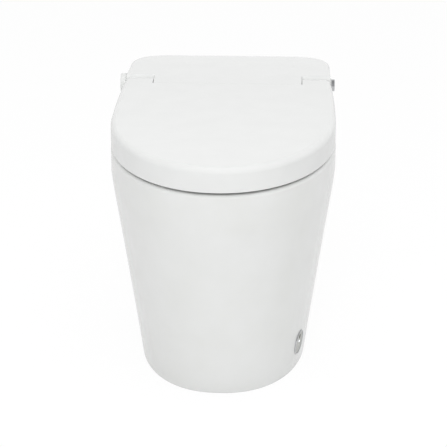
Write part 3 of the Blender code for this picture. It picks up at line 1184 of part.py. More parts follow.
def control_board():
    x, y, width, length = in_housing(BOARD_SHARES)
    low = TRAY_TOP + BOARD_RISE
    thick = BOARD_THICK
    board = block("control_board", (x, y, low), (x + width, y + length, low + thick))
    # Share of the board: x, y, width, length, and height in board thicknesses
    part_shares = ((0.06, 0.55, 0.26, 0.32, 8.0), (0.40, 0.50, 0.15, 0.37, 7.0), (0.61, 0.65, 0.12, 0.22, 6.0),
                   (0.12, 0.14, 0.18, 0.20, 3.0), (0.44, 0.16, 0.24, 0.18, 2.0), (0.80, 0.12, 0.12, 0.62, 5.0))
    for left, front, wide, deep, high in part_shares:
        weld(board, block("component", (x + width * left, y + length * front, low + thick * 0.4),
                          (x + width * (left + wide), y + length * (front + deep), low + thick * high)))
    return finish(tidy(board), "circuit_board")


def side_dial():
    """Bezel, turning dial with its spindle, encoder, and the button in the dial."""
    out = Vector((-1, 0, 0))
    def at(distance):
        return (-distance, CONTROL_Y, CONTROL_Z)
    bezel_out = HOUSE_HALF + GAP + DIAL_BEZEL
    bezel = button("dial_bezel", DIAL_R - RUNNING, DIAL_BEZEL, DIAL_BEZEL / 4, axis_place(out, at(HOUSE_HALF + GAP)),
                   TURN_STEPS)
    cut(bezel, rod("spindle_hole", DIAL_SPINDLE_R + RUNNING, at(HOUSE_HALF - OVERRUN), at(bezel_out + OVERRUN)))
    finish(tidy(bezel), "chrome")
    thick = DIAL_OUT - bezel_out - RUNNING
    dial = button("side_dial", DIAL_R, thick, thick / 4, axis_place(out, at(bezel_out + RUNNING)), TURN_STEPS)
    spindle_in = HOUSE_HALF - 3 * PLASTIC_WALL
    weld(dial, rod("spindle", DIAL_SPINDLE_R, at(spindle_in), at(DIAL_OUT - thick / 2)))
    cut(dial, rod("button_well", PUSH_R + GAP, at(DIAL_OUT - PUSH_DEPTH), at(DIAL_OUT + OVERRUN), TURN_STEPS))
    finish(tidy(dial), "white_gloss_plastic")
    floor = DIAL_OUT - PUSH_DEPTH + PUSH_TRAVEL + GAP
    push = button("dial_push_button", PUSH_R, DIAL_OUT + PUSH_PROUD - floor, PUSH_PROUD, axis_place(out, at(floor)),
                  TURN_STEPS)
    finish(push, "white_satin_plastic")
    depth, width, height = SWITCH_BOX
    encoder = block("dial_encoder", (-spindle_in + GAP, CONTROL_Y - width / 2, CONTROL_Z - height / 2),
                    (-spindle_in + GAP + depth, CONTROL_Y + width / 2, CONTROL_Z + height / 2), width / 12)
    finish(encoder, "black_plastic")
    carry(pivot("dial_line", at(bezel_out)), dial)
    carry(pivot("push_line", at(floor)), push)


def side_knob():
    """Collar, push knob and switch on the viewer's right."""
    out = Vector((1, 0, 0))
    def at(distance):
        return (distance, CONTROL_Y, CONTROL_Z)
    start = HOUSE_HALF + GAP
    collar = button("knob_collar", KNOB_R + KNOB_COLLAR, KNOB_COLLAR, KNOB_COLLAR / 3, axis_place(out, at(start)),
                    TURN_STEPS)
    cut(collar, rod("hole", KNOB_R + RUNNING, at(start - OVERRUN), at(start + OVERRUN), TURN_STEPS))
    finish(tidy(collar), "white_gloss_plastic")
    inner = HOUSE_HALF - PLASTIC_WALL
    knob = button("side_push_knob", KNOB_R, KNOB_OUT - inner, KNOB_COLLAR / 2, axis_place(out, at(inner)), TURN_STEPS)
    finish(knob, "chrome")
    depth, width, height = SWITCH_BOX
    face = inner - KNOB_TRAVEL - GAP
    switch = block("knob_switch", (face - depth, CONTROL_Y - width / 2, CONTROL_Z - height / 2),
                   (face, CONTROL_Y + width / 2, CONTROL_Z + height / 2), width / 12)
    reach = KNOB_R + RUNNING
    weld(switch, block("yoke", (face - depth + GAP, CONTROL_Y - reach - SWITCH_ARM, CONTROL_Z - height / 3),
                       (face - depth / 2, CONTROL_Y + reach + SWITCH_ARM, CONTROL_Z + height / 3)))
    for way in (-1, 1):
        low_y, high_y = sorted((CONTROL_Y + way * reach, CONTROL_Y + way * (reach + SWITCH_ARM)))
        weld(switch, block("arm", (face - depth + 2 * GAP, low_y, CONTROL_Z - height / 4),
                           (inner - GAP, high_y, CONTROL_Z + height / 4)))
    finish(tidy(switch), "black_plastic")
    carry(pivot("knob_line", at(inner)), knob)


def flush_side():
    """Inlet, valve, pump, hose and jet, in and in front of the rear bay."""
    out = (0, 1, 0)
    end = BACK_Y - GAP
    start = BAY_BACK_Y - 2 * INLET_R
    inlet = turned("water_inlet_fitting", ((INLET_R * 1.3, start), (INLET_R * 1.3, BAY_BACK_Y - GAP),
                                           (INLET_R, BAY_BACK_Y - GAP), (INLET_R, end)),
                   axis_place(out, (INLET_X, 0, PIPE_Z)))
    cut(inlet, rod("bore", INLET_R * 0.6, (INLET_X, BAY_BACK_Y, PIPE_Z), (INLET_X, BACK_Y + OVERRUN, PIPE_Z)))
    finish(tidy(inlet), "brass")
    gland = turned("cable_gland", ((GLAND_R * 1.4, BAY_BACK_Y - GLAND_R), (GLAND_R * 1.4, BAY_BACK_Y - GAP),
                                   (GLAND_R, BAY_BACK_Y - GAP), (GLAND_R, end)), axis_place(out, (GLAND_X, 0, PIPE_Z)))
    cut(gland, rod("bore", GLAND_R * 0.55, (GLAND_X, BAY_BACK_Y - 2 * GLAND_R, PIPE_Z),
                   (GLAND_X, BACK_Y + OVERRUN, PIPE_Z)))
    finish(tidy(gland), "black_plastic")

    width, length, height = VALVE_BOX
    valve_back = start - GAP
    valve_low = BAY_FLOOR + GAP
    valve = block("flush_valve", (INLET_X - width / 2, valve_back - length, valve_low),
                  (INLET_X + width / 2, valve_back, PIPE_Z + INLET_R), HOSE_R / 3)
    weld(valve, rod("coil", width * 0.32, (INLET_X, valve_back - length / 2, PIPE_Z),
                    (INLET_X, valve_back - length / 2, PIPE_Z + height)))
    finish(tidy(valve), "white_satin_plastic")
    pump_y = BAY_BACK_Y - PUMP_R - CERAMIC_WALL * 1.5
    pump = rod("booster_pump", PUMP_R, (-PUMP_LENGTH / 2 + GLAND_X / 4, pump_y, BAY_FLOOR + PUMP_R + SHAFT_R),
               (PUMP_LENGTH / 2 + GLAND_X / 4, pump_y, BAY_FLOOR + PUMP_R + SHAFT_R), TURN_STEPS)
    weld(pump, block("cradle", (-PUMP_LENGTH / 3 + GLAND_X / 4, pump_y - PUMP_R * 0.8, BAY_FLOOR + GAP),
                     (PUMP_LENGTH / 3 + GLAND_X / 4, pump_y + PUMP_R * 0.8, BAY_FLOOR + PUMP_R)))
    finish(tidy(pump), "grey_plastic")

    wide, deep, tall = JET_BOX
    jet_low = WINDOW_FLOOR + GAP
    jet_front = NOSE_Y - deep / 4
    jet = block("rim_jet", (JET_X - wide / 2, jet_front, jet_low),
                (JET_X + wide / 2, jet_front + deep, jet_low + tall), tall / 5)
    half_share, length_share, floor_share, roof_share = SPOUT_SHARES
    cut(jet, block("spout", (JET_X - wide * half_share, jet_front - OVERRUN, jet_low + tall * floor_share),
                   (JET_X + wide * half_share, jet_front + deep * length_share, jet_low + tall * roof_share)))
    finish(tidy(jet), "white_satin_plastic")
    valve_front = valve_back - length
    low_z = (BAY_FLOOR + PIPE_Z) / 2
    route = ((JET_X, jet_front + deep + GAP, HOSE_Z), (JET_X, APRON_Y + deep / 2, HOSE_Z),
             (JET_X, BAY_FRONT_Y + 2 * HOSE_R, HOSE_Z - HOSE_R), (JET_X, valve_front - 4 * HOSE_R, PIPE_Z + HOSE_R),
             (JET_X, valve_front - 3 * HOSE_R, low_z + HOSE_R), (JET_X, valve_front - HOSE_R, low_z),
             (JET_X, valve_front - 4 * RUNNING, low_z))
    hose = pipe("flush_hose", smooth_route(route, 4), HOSE_R, TRAP_SIDES)
    finish(tidy(hose), "rubber")


ceramic_body()
outlet()
floor_fixing(-1, "left")
floor_fixing(1, "right")
foot_sensor()
housing_base()
housing_cover()
hinge_damper(-1, "left")
hinge_damper(1, "right")
wash_unit()
dryer()
blower()
seated("water_heater", HEATER_SHARES, HEATER_HEIGHT, PLASTIC_WALL, "white_satin_plastic")
seated("deodoriser", DEODORISER_SHARES, DEODORISER_HEIGHT, PLASTIC_WALL, "grey_plastic")
control_board()
side_dial()
side_knob()
flush_side()
seat()
lid()
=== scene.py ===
# The looks of a tankless one-piece toilet with a washing seat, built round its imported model.
# Metres, +Z up. The front faces -Y, and +X is the viewer's right.

import math

import bmesh
import bpy
from mathutils import Matrix, Vector


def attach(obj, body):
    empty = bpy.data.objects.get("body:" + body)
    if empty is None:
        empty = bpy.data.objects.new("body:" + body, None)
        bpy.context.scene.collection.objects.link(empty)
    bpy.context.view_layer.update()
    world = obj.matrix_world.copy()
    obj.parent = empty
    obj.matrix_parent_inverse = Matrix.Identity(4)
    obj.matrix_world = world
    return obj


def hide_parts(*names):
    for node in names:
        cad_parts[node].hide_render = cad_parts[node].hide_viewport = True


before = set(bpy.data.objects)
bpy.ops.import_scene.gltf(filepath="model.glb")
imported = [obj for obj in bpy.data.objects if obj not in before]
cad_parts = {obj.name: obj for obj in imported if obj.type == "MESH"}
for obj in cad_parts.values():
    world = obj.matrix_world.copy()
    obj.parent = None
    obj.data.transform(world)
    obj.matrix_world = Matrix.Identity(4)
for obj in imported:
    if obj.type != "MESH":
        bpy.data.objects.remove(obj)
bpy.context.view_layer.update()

# Fits and walls
GAP = 0.0003              # between pieces that touch
RUNNING = 0.0006          # round a piece that slides or turns
OVERRUN = 0.01            # of a cut past what it cuts
MERGE = GAP / 30          # points nearer than this become one
CUT_MERGE = GAP / 10      # and after cuts
CERAMIC_WALL = 0.011
PLASTIC_WALL = 0.003

# Outline of the rim and of the foot, seen from above: halves lie along X and depths along Y
FRONT_Y = -0.350
BACK_Y = 0.350
RIM_HALF = 0.2014
RIM_DEPTH = 0.2860
RIM_REAR_HALF = 0.1960
RIM_CORNER = 0.074
WIDEST_Y = FRONT_Y + RIM_DEPTH
RIM_TOP = 0.4080
RIM_ROUND = 0.007
FRONT_POWER = 2.05
SIDE_POWER = 2.7
FOOT_HALF = 0.1517
FOOT_DEPTH = 0.2305
FOOT_WIDEST_Y = -0.03675
FOOT_REAR_HALF = 0.1440
FOOT_BACK_Y = 0.3350
FOOT_CORNER = 0.030
FOOT_ROUND = 0.004
FOOT_POWER = 2.22
FOOT_FORM = (FOOT_HALF, FOOT_DEPTH, FOOT_WIDEST_Y, FOOT_REAR_HALF, FOOT_BACK_Y, FOOT_CORNER, FOOT_POWER)
RIM_FORM = (RIM_HALF, RIM_DEPTH, WIDEST_Y, RIM_REAR_HALF, BACK_Y, RIM_CORNER, FRONT_POWER)
# The wall between them: it swells on the way up, and stands upright under the rim
WALL_SWELL = 0.397
WALL_SHOULDER = 1.698
SHOULDER_POWER = 8
WALL_BEND = 0.895         # share of the height where the upright part starts

# Bowl, trapway and rear bay
BOWL_HALF = 0.1240
BOWL_FRONT = 0.1830
BOWL_BACK = 0.1650
BOWL_Y = -0.1170
BOWL_BOTTOM = 0.0760
BOWL_LIP = 0.0045         # glaze round of the bowl's upper edge
SUMP_Y = -0.0300
BOWL_POWER = 2.2
# Share of the depth, of the width, of the front and back reach, and of the way to the sump
BOWL_SHARES = (
    (0.00, 1.000, 1.000, 1.000, 0.00),
    (0.11, 0.990, 0.990, 0.990, 0.00),
    (0.27, 0.940, 0.930, 0.940, 0.05),
    (0.44, 0.840, 0.790, 0.820, 0.17),
    (0.60, 0.680, 0.600, 0.640, 0.38),
    (0.74, 0.500, 0.410, 0.450, 0.63),
    (0.86, 0.370, 0.270, 0.320, 0.85),
    (0.95, 0.290, 0.200, 0.240, 0.96),
    (1.00, 0.200, 0.140, 0.160, 1.00),
)
TRAP_BORE = 0.026
TRAP_ROUTE = ((-0.030, 0.107), (0.014, 0.105), (0.055, 0.125), (0.090, 0.163), (0.125, 0.186), (0.158, 0.172),
              (0.172, 0.133))     # (y, z) of its middle
SPIGOT = 0.0240           # straight length of ceramic under the trapway
BAY_HALF = 0.120
BAY_FRONT_Y = 0.180
BAY_BACK_Y = 0.322
BAY_FLOOR = 0.236
WINDOW_HALF = 0.104
WINDOW_FLOOR = 0.352
WINDOW_ROUND = 0.004
VOID_TOP = 0.370
SERVICE_HALF = 0.090
SERVICE_TOP = 0.160
SERVICE_ROUND = 0.020
PIPE_HOLES = ((-0.0800, 0.0136), (0.0800, 0.0086))    # x and radius
PIPE_Z = 0.2950
DECK_HOLE = (0.1560, 0.1960, 0.0046)                  # x, y and radius
SIDE_HOLE = (0.2100, 0.0380, 0.0046)                  # y, z and radius
SIDE_CAP_R = 0.0090
SIDE_CAP_THICK = 0.0022

# Hinge line, lid and seat
HINGE_Y = 0.1430
HINGE_Z = 0.4377
EAR_R = 0.0180
JOINT_R = 0.0310
TONGUE_HALF = 0.1397
SLOT = 0.0016
SHAFT_R = 0.0040
LID_HALF = 0.2008
LID_DEPTH = 0.2854
LID_REAR_HALF = 0.1938
LID_TOP = HINGE_Z + EAR_R
LID_SKIRT = 0.0430
LID_ROUND = 0.0110
LID_WALL = 0.0040
SEAT_INSET = 0.0062
SEAT_UNDER = 0.4180
SEAT_CROWN = 0.4470
SEAT_REAR_GAP = 0.0025
SEAT_REAR_Y = HINGE_Y - JOINT_R - SEAT_REAR_GAP
SEAT_HOLE_HALF = 0.1070
SEAT_HOLE_REACH = 0.1500
SEAT_HOLE_Y = -0.1250
SEAT_HOLE_POWER = 2.25
SEAT_DISH = 0.0070
SEAT_EDGE = 0.0050
SEAT_EAR_R = 0.0145
SEAT_ARM_SHARES = (0.72, 0.60)            # of the ear's radius, below and above the hinge line
EAR_ROOM_SHARE = 1.2                      # of the ear's radius, kept free in front of the hinge line
# Arcs round the hinge line: start and end in degrees from the front, and steps
EAR_ARC = (92, 250, 32)
ROOM_ARC = (60, 215, 24)
JOINT_ARC = (0, 60, 24)

# Rear housing
HOUSE_HALF = 0.1950
HOUSE_CORNER = 0.078
HOUSE_FALL = 0.0126
HOUSE_FALL_POWER = 1.5
HOUSE_ROUND = 0.0080
HOUSE_NICK = 0.0014
HOUSE_EDGE_POWER = 4      # how soon the edge's round fades from the sides and the back
POCKET_Y = HINGE_Y + EAR_R + RUNNING
POCKET_LEAN_DEG = 8.0
POCKET_RISE = 0.0103      # the pockets slope back from here on, over the hinge line
POCKET_ROUND = 0.0030     # round of their upper edge
POCKET_LEAN = (LID_TOP - HINGE_Z) * math.tan(math.radians(POCKET_LEAN_DEG))
MOUTH_HALF = 0.1046
MOUTH_TOP = 0.4190
APRON_Y = 0.1195

# Gasket and tray under the housing, and what passes through them
GASKET = 0.0018
TRAY_Z = RIM_TOP + 2 * GAP + GASKET
TRAY_TOP = TRAY_Z + PLASTIC_WALL
BOLT_R = 0.0040
BOARD = (-0.0660, 0.2260, 0.1080, 0.0960)             # low x and y, width and length
BOARD_RISE = 0.0062
BOSS_R = 0.0036
BOSS_INSET = 0.0042
HOSE = (-0.0780, 0.3640, 0.0070)                      # x, z and radius
# Slots for the sloping guard and duct: x, half width, half height and length along the slope
SLOPE_DEG = 28.0
SLOPE_START = (0.0, 0.0700, 0.3780)
SLOPE_SLOTS = ((0.0, 0.0275, 0.0115, 0.1540), (0.0725, 0.0210, 0.0100, 0.1080))

# Side controls
CONTROL_Y = 0.1830
CONTROL_Z = 0.4343
DIAL_R = 0.0190
DIAL_OUT = 0.2070
DIAL_BEZEL = 0.0032
DIAL_CUP = 0.0025         # wall of the dial's skirt over its ring
DIAL_SPINDLE_R = 0.0030
PUSH_R = 0.0085
PUSH_PROUD = 0.0004
PUSH_DEPTH = 0.0050
PUSH_TRAVEL = 0.0015
KNOB_R = 0.0115
KNOB_OUT = 0.2034
KNOB_COLLAR = 0.0018

# Foot sensor
SENSOR_TURN_DEG = 60.6
SENSOR_Z = 0.0560
SENSOR_HALF = (0.0180, 0.0250)
SENSOR_SEAT = 0.0016
SENSOR_PROUD = 0.0022
SENSOR_RIM = 0.0024
SENSOR_CASE = (0.0080, 0.0190)
LENS_R = 0.0042
LENS_RISE = 0.0125
LAMP_R = 0.0022
LAMP_RISE = 0.0020

# Facets
FRONT_STEPS = 44
SIDE_STEPS = 14
CORNER_STEPS = 10
TONGUE_STEPS = 6
POCKET_STEPS = 4
WALL_STEPS = 14
ROUND_STEPS = 6
BOWL_STEPS = 72
TRAP_SIDES = 32
TURN_STEPS = 72
SMALL_STEPS = 32
BOWL_ROWS = 3             # rows drawn for each given one
TRAP_ROWS = 5
SEAT_ROWS = 2
BREAK_STEPS = 2           # of a broken edge
BREAK_FROM_DEG = 50
FLAT_WITHIN_DEG = 0.05
SHARP_FROM_DEG = 38
ROUND_REACH_SHARE = 0.49  # of a side, so that the rounds at its ends stay apart
CROWN_SHARES = (0.75, 0.5, 0.25, 0.0)     # rings that close the cover's top towards its middle

# The photograph's camera, found from the outlines in it
CAMERA_AT = (0.1157, -3.085, 1.4577)
CAMERA_TILT_DEG = 68.137
CAMERA_TURN_DEG = 2.198
CAMERA_LENS_MM = 143.14
CAMERA_SENSOR_MM = 36.0

# Light. Each wall's glow has a way out of the room's middle and a strength
WALL_GLOWS = (((0, -1, 0), 0.506), ((0, 1, 0), 0.971), ((-1, 0, 0), 0.566), ((1, 0, 0), 0.851), ((0, 0, 1), 0.385))
GLOW_POWER = 2.0
FLOOR_HALF = 6.0
FLOOR_GLOW = 0.824        # what the floor lends to its reflection
FLOOR_SEEN = 1.03         # and to the camera
FLOOR_LIT_SHARE = 0.9     # the rest is matt, and takes the object's shadow
# Name, place, aim, width and height in metres, and watts
LAMPS = (
    ("overhead_panel", (0.0, -0.6, 2.6), (0.0, 0.0, 0.4), 2.4, 2.0, 22.9),
    ("front_panel", (-0.5, -3.6, 1.6), (0.0, -0.2, 0.25), 2.0, 1.8, 32.1),
)


def shade(hex_value):
    """Turns an sRGB hex colour to the linear colour that a shader takes."""
    channels = []
    for index in (0, 2, 4):
        level = int(hex_value[index:index + 2], 16) / 255
        channels.append(level / 12.92 if level <= 0.04045 else ((level + 0.055) / 1.055) ** 2.4)
    return (*channels, 1.0)


def per(millimetres):
    """The texture scale that gives a pattern this size, on Object coordinates in metres."""
    return 1000.0 / millimetres


def add(tree, kind, inputs=None, **settings):
    """Adds a node. An input is either a value, or the output of another node to link."""
    made = tree.nodes.new(kind)
    for name, value in settings.items():
        setattr(made, name, value)
    for name, value in (inputs or {}).items():
        if isinstance(value, bpy.types.NodeSocket):
            tree.links.new(value, made.inputs[name])
        else:
            made.inputs[name].default_value = value
    return made


def cleared(owner):
    """The empty node tree of a material or a world."""
    owner.use_nodes = True
    owner.node_tree.nodes.clear()
    return owner.node_tree


def blank(name):
    """An empty material, its node tree, and the place in metres that its patterns read."""
    material = bpy.data.materials.new(name)
    tree = cleared(material)
    return material, tree, add(tree, "ShaderNodeTexCoord").outputs["Object"]


def finished(tree, **inputs):
    """Ends a material in one Principled shader."""
    values = {name.replace("_", " "): value for name, value in inputs.items()}
    shader = add(tree, "ShaderNodeBsdfPrincipled", values)
    add(tree, "ShaderNodeOutputMaterial", {"Surface": shader.outputs["BSDF"]})


def ranged(tree, value, low, high, start=0.0, end=1.0):
    """Brings a value that runs from start to end to the range from low to high."""
    return add(tree, "ShaderNodeMapRange", {"Value": value, "From Min": start, "From Max": end,
                                            "To Min": low, "To Max": high}).outputs["Result"]


def maths(tree, operation, *values):
    """One reckoning on values or outputs."""
    return add(tree, "ShaderNodeMath", dict(enumerate(values)), operation=operation).outputs[0]


def cloudy(tree, place, size_mm, low, high, detail=3.0):
    """A soft noise of one size, brought to a range of values. It seldom leaves 0.3 to 0.7."""
    noise = add(tree, "ShaderNodeTexNoise", {"Vector": place, "Scale": per(size_mm), "Detail": detail})
    return ranged(tree, noise.outputs["Fac"], low, high, 0.3, 0.7)


def tinted(tree, share, low_hex, high_hex):
    """Mixes two colours by a share."""
    mixed = add(tree, "ShaderNodeMix", data_type="RGBA")
    tree.links.new(share, mixed.inputs[0])
    mixed.inputs[6].default_value = shade(low_hex)
    mixed.inputs[7].default_value = shade(high_hex)
    return mixed.outputs[2]


def raised(tree, height, millimetres, strength=1.0, below=None):
    """A bump of a real depth, over another bump where one is given."""
    inputs = {"Height": height, "Distance": millimetres / 1000.0, "Strength": strength}
    if below is not None:
        inputs["Normal"] = below
    return add(tree, "ShaderNodeBump", inputs).outputs["Normal"]


def vitreous_china():
    """Glazed fireclay: a hard clear glaze over white, which runs in waves as long as a hand."""
    material, tree, place = blank("vitreous_china_glaze")
    pooled = cloudy(tree, place, 90.0, 0.0, 1.0)
    waves = cloudy(tree, place, 22.0, 0.0, 1.0, 1.0)
    pits = add(tree, "ShaderNodeTexVoronoi", {"Vector": place, "Scale": per(3.2)})
    pin = ranged(tree, pits.outputs["Distance"], 0.0, 1.0, end=0.05)
    wavy = raised(tree, waves, 0.030, 0.5)
    finished(tree, Base_Color=tinted(tree, pooled, "EDEEEC", "F1F2F1"), Roughness=cloudy(tree, place, 6.0, 0.10, 0.14),
             IOR=1.52, Coat_Weight=0.6, Coat_Roughness=0.03, Coat_IOR=1.5,
             Normal=raised(tree, pin, 0.010, 0.4, wavy))
    return material


def urea_moulding():
    """Pressed urea resin: a deep, slightly warmer white with a polished mould's faint swell."""
    material, tree, place = blank("urea_resin_white")
    swell = cloudy(tree, place, 45.0, 0.0, 1.0, 1.0)
    dust = cloudy(tree, place, 0.6, 0.0, 1.0)
    finished(tree, Base_Color=tinted(tree, swell, "EFF0EF", "F1F2F1"), Roughness=cloudy(tree, place, 9.0, 0.16, 0.22),
             IOR=1.54, Coat_Weight=0.3, Coat_Roughness=0.08,
             Normal=raised(tree, dust, 0.002, 0.35, raised(tree, swell, 0.020, 0.4)))
    return material


def grained_plastic(name, low_hex, high_hex, rough, grain_mm, depth_mm):
    """An injection moulding with the fine sparked grain of its tool."""
    material, tree, place = blank(name)
    cells = add(tree, "ShaderNodeTexVoronoi", {"Vector": place, "Scale": per(grain_mm)}).outputs["Distance"]
    patch = cloudy(tree, place, 14.0, 0.0, 1.0)
    finished(tree, Base_Color=tinted(tree, patch, low_hex, high_hex),
             Roughness=cloudy(tree, place, 4.0, rough - 0.04, rough + 0.05), IOR=1.53,
             Normal=raised(tree, cells, depth_mm, 0.5))
    return material


def plated_chrome():
    """Bright chrome plate on plastic: a mirror with a slight ripple from the moulding below."""
    material, tree, place = blank("chrome_plate")
    ripple = cloudy(tree, place, 7.0, 0.0, 1.0, 1.0)
    finished(tree, Base_Color=tinted(tree, ripple, "C9CACC", "D2D3D4"), Metallic=1.0,
             Roughness=cloudy(tree, place, 2.5, 0.07, 0.12), Normal=raised(tree, ripple, 0.006, 0.4))
    return material


def drawn_steel():
    """Zinc-bright steel with fine lines along its length from rolling."""
    material, tree, place = blank("zinc_plated_steel")
    stretched = add(tree, "ShaderNodeMapping", {"Vector": place, "Scale": (1.0, 0.05, 1.0)}).outputs["Vector"]
    lines = cloudy(tree, stretched, 0.5, 0.0, 1.0)
    finished(tree, Base_Color=tinted(tree, lines, "A9ABAD", "BFC0C1"), Metallic=1.0,
             Roughness=cloudy(tree, place, 3.0, 0.26, 0.36), Normal=raised(tree, lines, 0.004, 0.5))
    return material


def turned_brass():
    """Brass with the rings that a lathe tool leaves."""
    material, tree, place = blank("turned_brass")
    rings = add(tree, "ShaderNodeTexWave", {"Vector": place, "Scale": per(3.0), "Distortion": 0.4},
                bands_direction="Y").outputs["Fac"]
    finished(tree, Base_Color=tinted(tree, cloudy(tree, place, 5.0, 0.0, 1.0), "B8955A", "C6A468"), Metallic=1.0,
             Roughness=cloudy(tree, place, 2.0, 0.24, 0.34), Normal=raised(tree, rings, 0.008, 0.4))
    return material


def moulded_rubber(name, low_hex, high_hex):
    """Rubber with a dull, slightly powdery skin."""
    material, tree, place = blank(name)
    bloom = cloudy(tree, place, 8.0, 0.0, 1.0)
    pores = cloudy(tree, place, 0.4, 0.0, 1.0)
    finished(tree, Base_Color=tinted(tree, bloom, low_hex, high_hex), Roughness=cloudy(tree, place, 3.0, 0.62, 0.78),
             IOR=1.52, Sheen_Weight=0.15, Normal=raised(tree, pores, 0.010, 0.5))
    return material


def infrared_window():
    """Smoked acrylic: a deep olive that darkens in cloudy patches, and takes a soft shine."""
    material, tree, place = blank("smoked_acrylic")
    cloud = cloudy(tree, place, 4.0, 0.0, 1.0)
    finished(tree, Base_Color=tinted(tree, cloud, "3E4030", "5C5E48"), Roughness=cloudy(tree, place, 2.0, 0.26, 0.34),
             IOR=1.49)
    return material


def milky_lamp():
    """Milky acrylic over a small white light."""
    material, tree, place = blank("milky_acrylic")
    cloud = cloudy(tree, place, 1.5, 0.0, 1.0)
    finished(tree, Base_Color=tinted(tree, cloud, "F6F8FA", "FFFFFF"), Roughness=cloudy(tree, place, 2.0, 0.18, 0.26),
             IOR=1.49, Emission_Color=shade("F4F8FF"), Emission_Strength=0.9)
    return material


def green_board():
    """A lacquered circuit board: green, with paler copper tracks under the lacquer."""
    material, tree, place = blank("lacquered_circuit_board")
    tracks = add(tree, "ShaderNodeTexBrick", {"Vector": place, "Scale": per(14.0), "Mortar Size": 0.03,
                                              "Color1": shade("0C4A26"), "Color2": shade("0E5229"),
                                              "Mortar": shade("3C7A46")})
    finished(tree, Base_Color=tracks.outputs["Color"], Roughness=cloudy(tree, place, 3.0, 0.30, 0.42), IOR=1.53,
             Normal=raised(tree, tracks.outputs["Fac"], 0.030, 0.5))
    return material


LOOKS = {
    "vitreous_glaze": vitreous_china(),
    "white_gloss_plastic": urea_moulding(),
    "white_satin_plastic": grained_plastic("moulded_abs_white", "E4E5E4", "E9EAE9", 0.34, 0.7, 0.012),
    "grey_plastic": grained_plastic("moulded_abs_grey", "C2C3BF", "CACBC7", 0.42, 0.8, 0.015),
    "black_plastic": grained_plastic("moulded_abs_black", "17181A", "1F2022", 0.40, 0.8, 0.015),
    "clear_lens": infrared_window(),
    "lamp_white": milky_lamp(),
    "chrome": plated_chrome(),
    "steel": drawn_steel(),
    "brass": turned_brass(),
    "rubber": moulded_rubber("nitrile_rubber_black", "1B1B1C", "242425"),
    "soft_rubber": moulded_rubber("silicone_rubber_grey", "B9BBBB", "C6C8C8"),
    "circuit_board": green_board(),
}


def quarter_turn(steps, first=0):
    """Angles from 0 to 90 degrees, from the first one asked for."""
    return [math.pi / 2 * step / steps for step in range(first, steps + 1)]


def full_turn(steps):
    return [2 * math.pi * step / steps for step in range(steps)]


def rear_corner(half, back_y, radius, first=0):
    """The rounded corner on the right, from its side to the back."""
    return [(half - radius + radius * math.cos(angle), back_y - radius + radius * math.sin(angle))
            for angle in quarter_turn(CORNER_STEPS, first)]


def outline(half, depth, widest_y, rear_half, back_y, corner, power, inset=0.0):
    """Closed outline from above: rounded front, sides that draw in, and rounded rear corners."""
    half, depth, rear_half, back_y, corner = (size - inset for size in (half, depth, rear_half, back_y, corner))
    right = [(half * abs(math.sin(angle)) ** (2 / power), widest_y - depth * abs(math.cos(angle)) ** (2 / power))
             for angle in quarter_turn(FRONT_STEPS)]
    for step in range(1, SIDE_STEPS + 1):
        share = step / SIDE_STEPS
        right.append((half - (half - rear_half) * share ** SIDE_POWER, widest_y + (back_y - corner - widest_y) * share))
    return both_sides(right + rear_corner(rear_half, back_y, corner, 1) + [(0.0, back_y)])


def both_sides(right):
    """Closes a right-hand outline, from the nose to the back, with its left half."""
    return right + [(-x, y) for x, y in reversed(right[1:-1])]


def divided(points, reach):
    """Adds points to an outline, so that none of its sides is longer than this."""
    made = []
    for here, there in zip(points, points[1:] + points[:1]):
        parts = max(1, math.ceil(math.dist(here, there) / reach))
        made += [tuple(a + (b - a) * step / parts for a, b in zip(here, there)) for step in range(parts)]
    return made


def at_height(points, z):
    return [(x, y, z) for x, y in points]


def wall_share(z):
    """How far the wall has come from the foot's outline to the rim's at one height."""
    up = min(max(z / RIM_TOP, 0.0), 1.0)
    return min(up + (WALL_SWELL * up ** 2 + WALL_SHOULDER * up ** SHOULDER_POWER) * (1 - up), 1.0)


def wall_outline(z, inset=0.0):
    """The pedestal's wall at one height, between the foot's outline and the rim's."""
    share = wall_share(z)
    return [(foot_x + (rim_x - foot_x) * share, foot_y + (rim_y - foot_y) * share, z)
            for (foot_x, foot_y), (rim_x, rim_y) in zip(outline(*FOOT_FORM, inset), outline(*RIM_FORM, inset))]


def drawn(shape, rings, ends=True):
    """Draws a loop through further loops, one extrusion at a time, and fills its ends."""
    loop = [shape.verts.new(point) for point in rings[0]]
    edges = [shape.edges.new(pair) for pair in zip(loop, loop[1:] + loop[:1])]
    if ends:
        shape.faces.new(loop)
    for ring in rings[1:]:
        fresh = set(bmesh.ops.extrude_edge_only(shape, edges=edges)["geom"])
        following = []
        for corner, point in zip(loop, ring):
            partner = next(edge.other_vert(corner) for edge in corner.link_edges if edge.other_vert(corner) in fresh)
            partner.co = point
            following.append(partner)
        loop = following
        edges = [shape.edges.get(pair) for pair in zip(loop, loop[1:] + loop[:1])]
    if ends:
        shape.faces.new(loop)
    return loop


def solid(name, shape, place=None):
    """Turns a bmesh into an object with its faces outwards."""
    if place is not None:
        shape.transform(place)
    bmesh.ops.remove_doubles(shape, verts=shape.verts, dist=MERGE)
    bmesh.ops.recalc_face_normals(shape, faces=shape.faces)
    mesh = bpy.data.meshes.new(name)
    shape.to_mesh(mesh)
    shape.free()
    piece = bpy.data.objects.new(name, mesh)
    bpy.context.collection.objects.link(piece)
    return piece


def lofted(name, rings, place=None):
    shape = bmesh.new()
    drawn(shape, rings)
    return solid(name, shape, place)


def slab(name, points, low, high):
    return lofted(name, [at_height(points, low), at_height(points, high)])


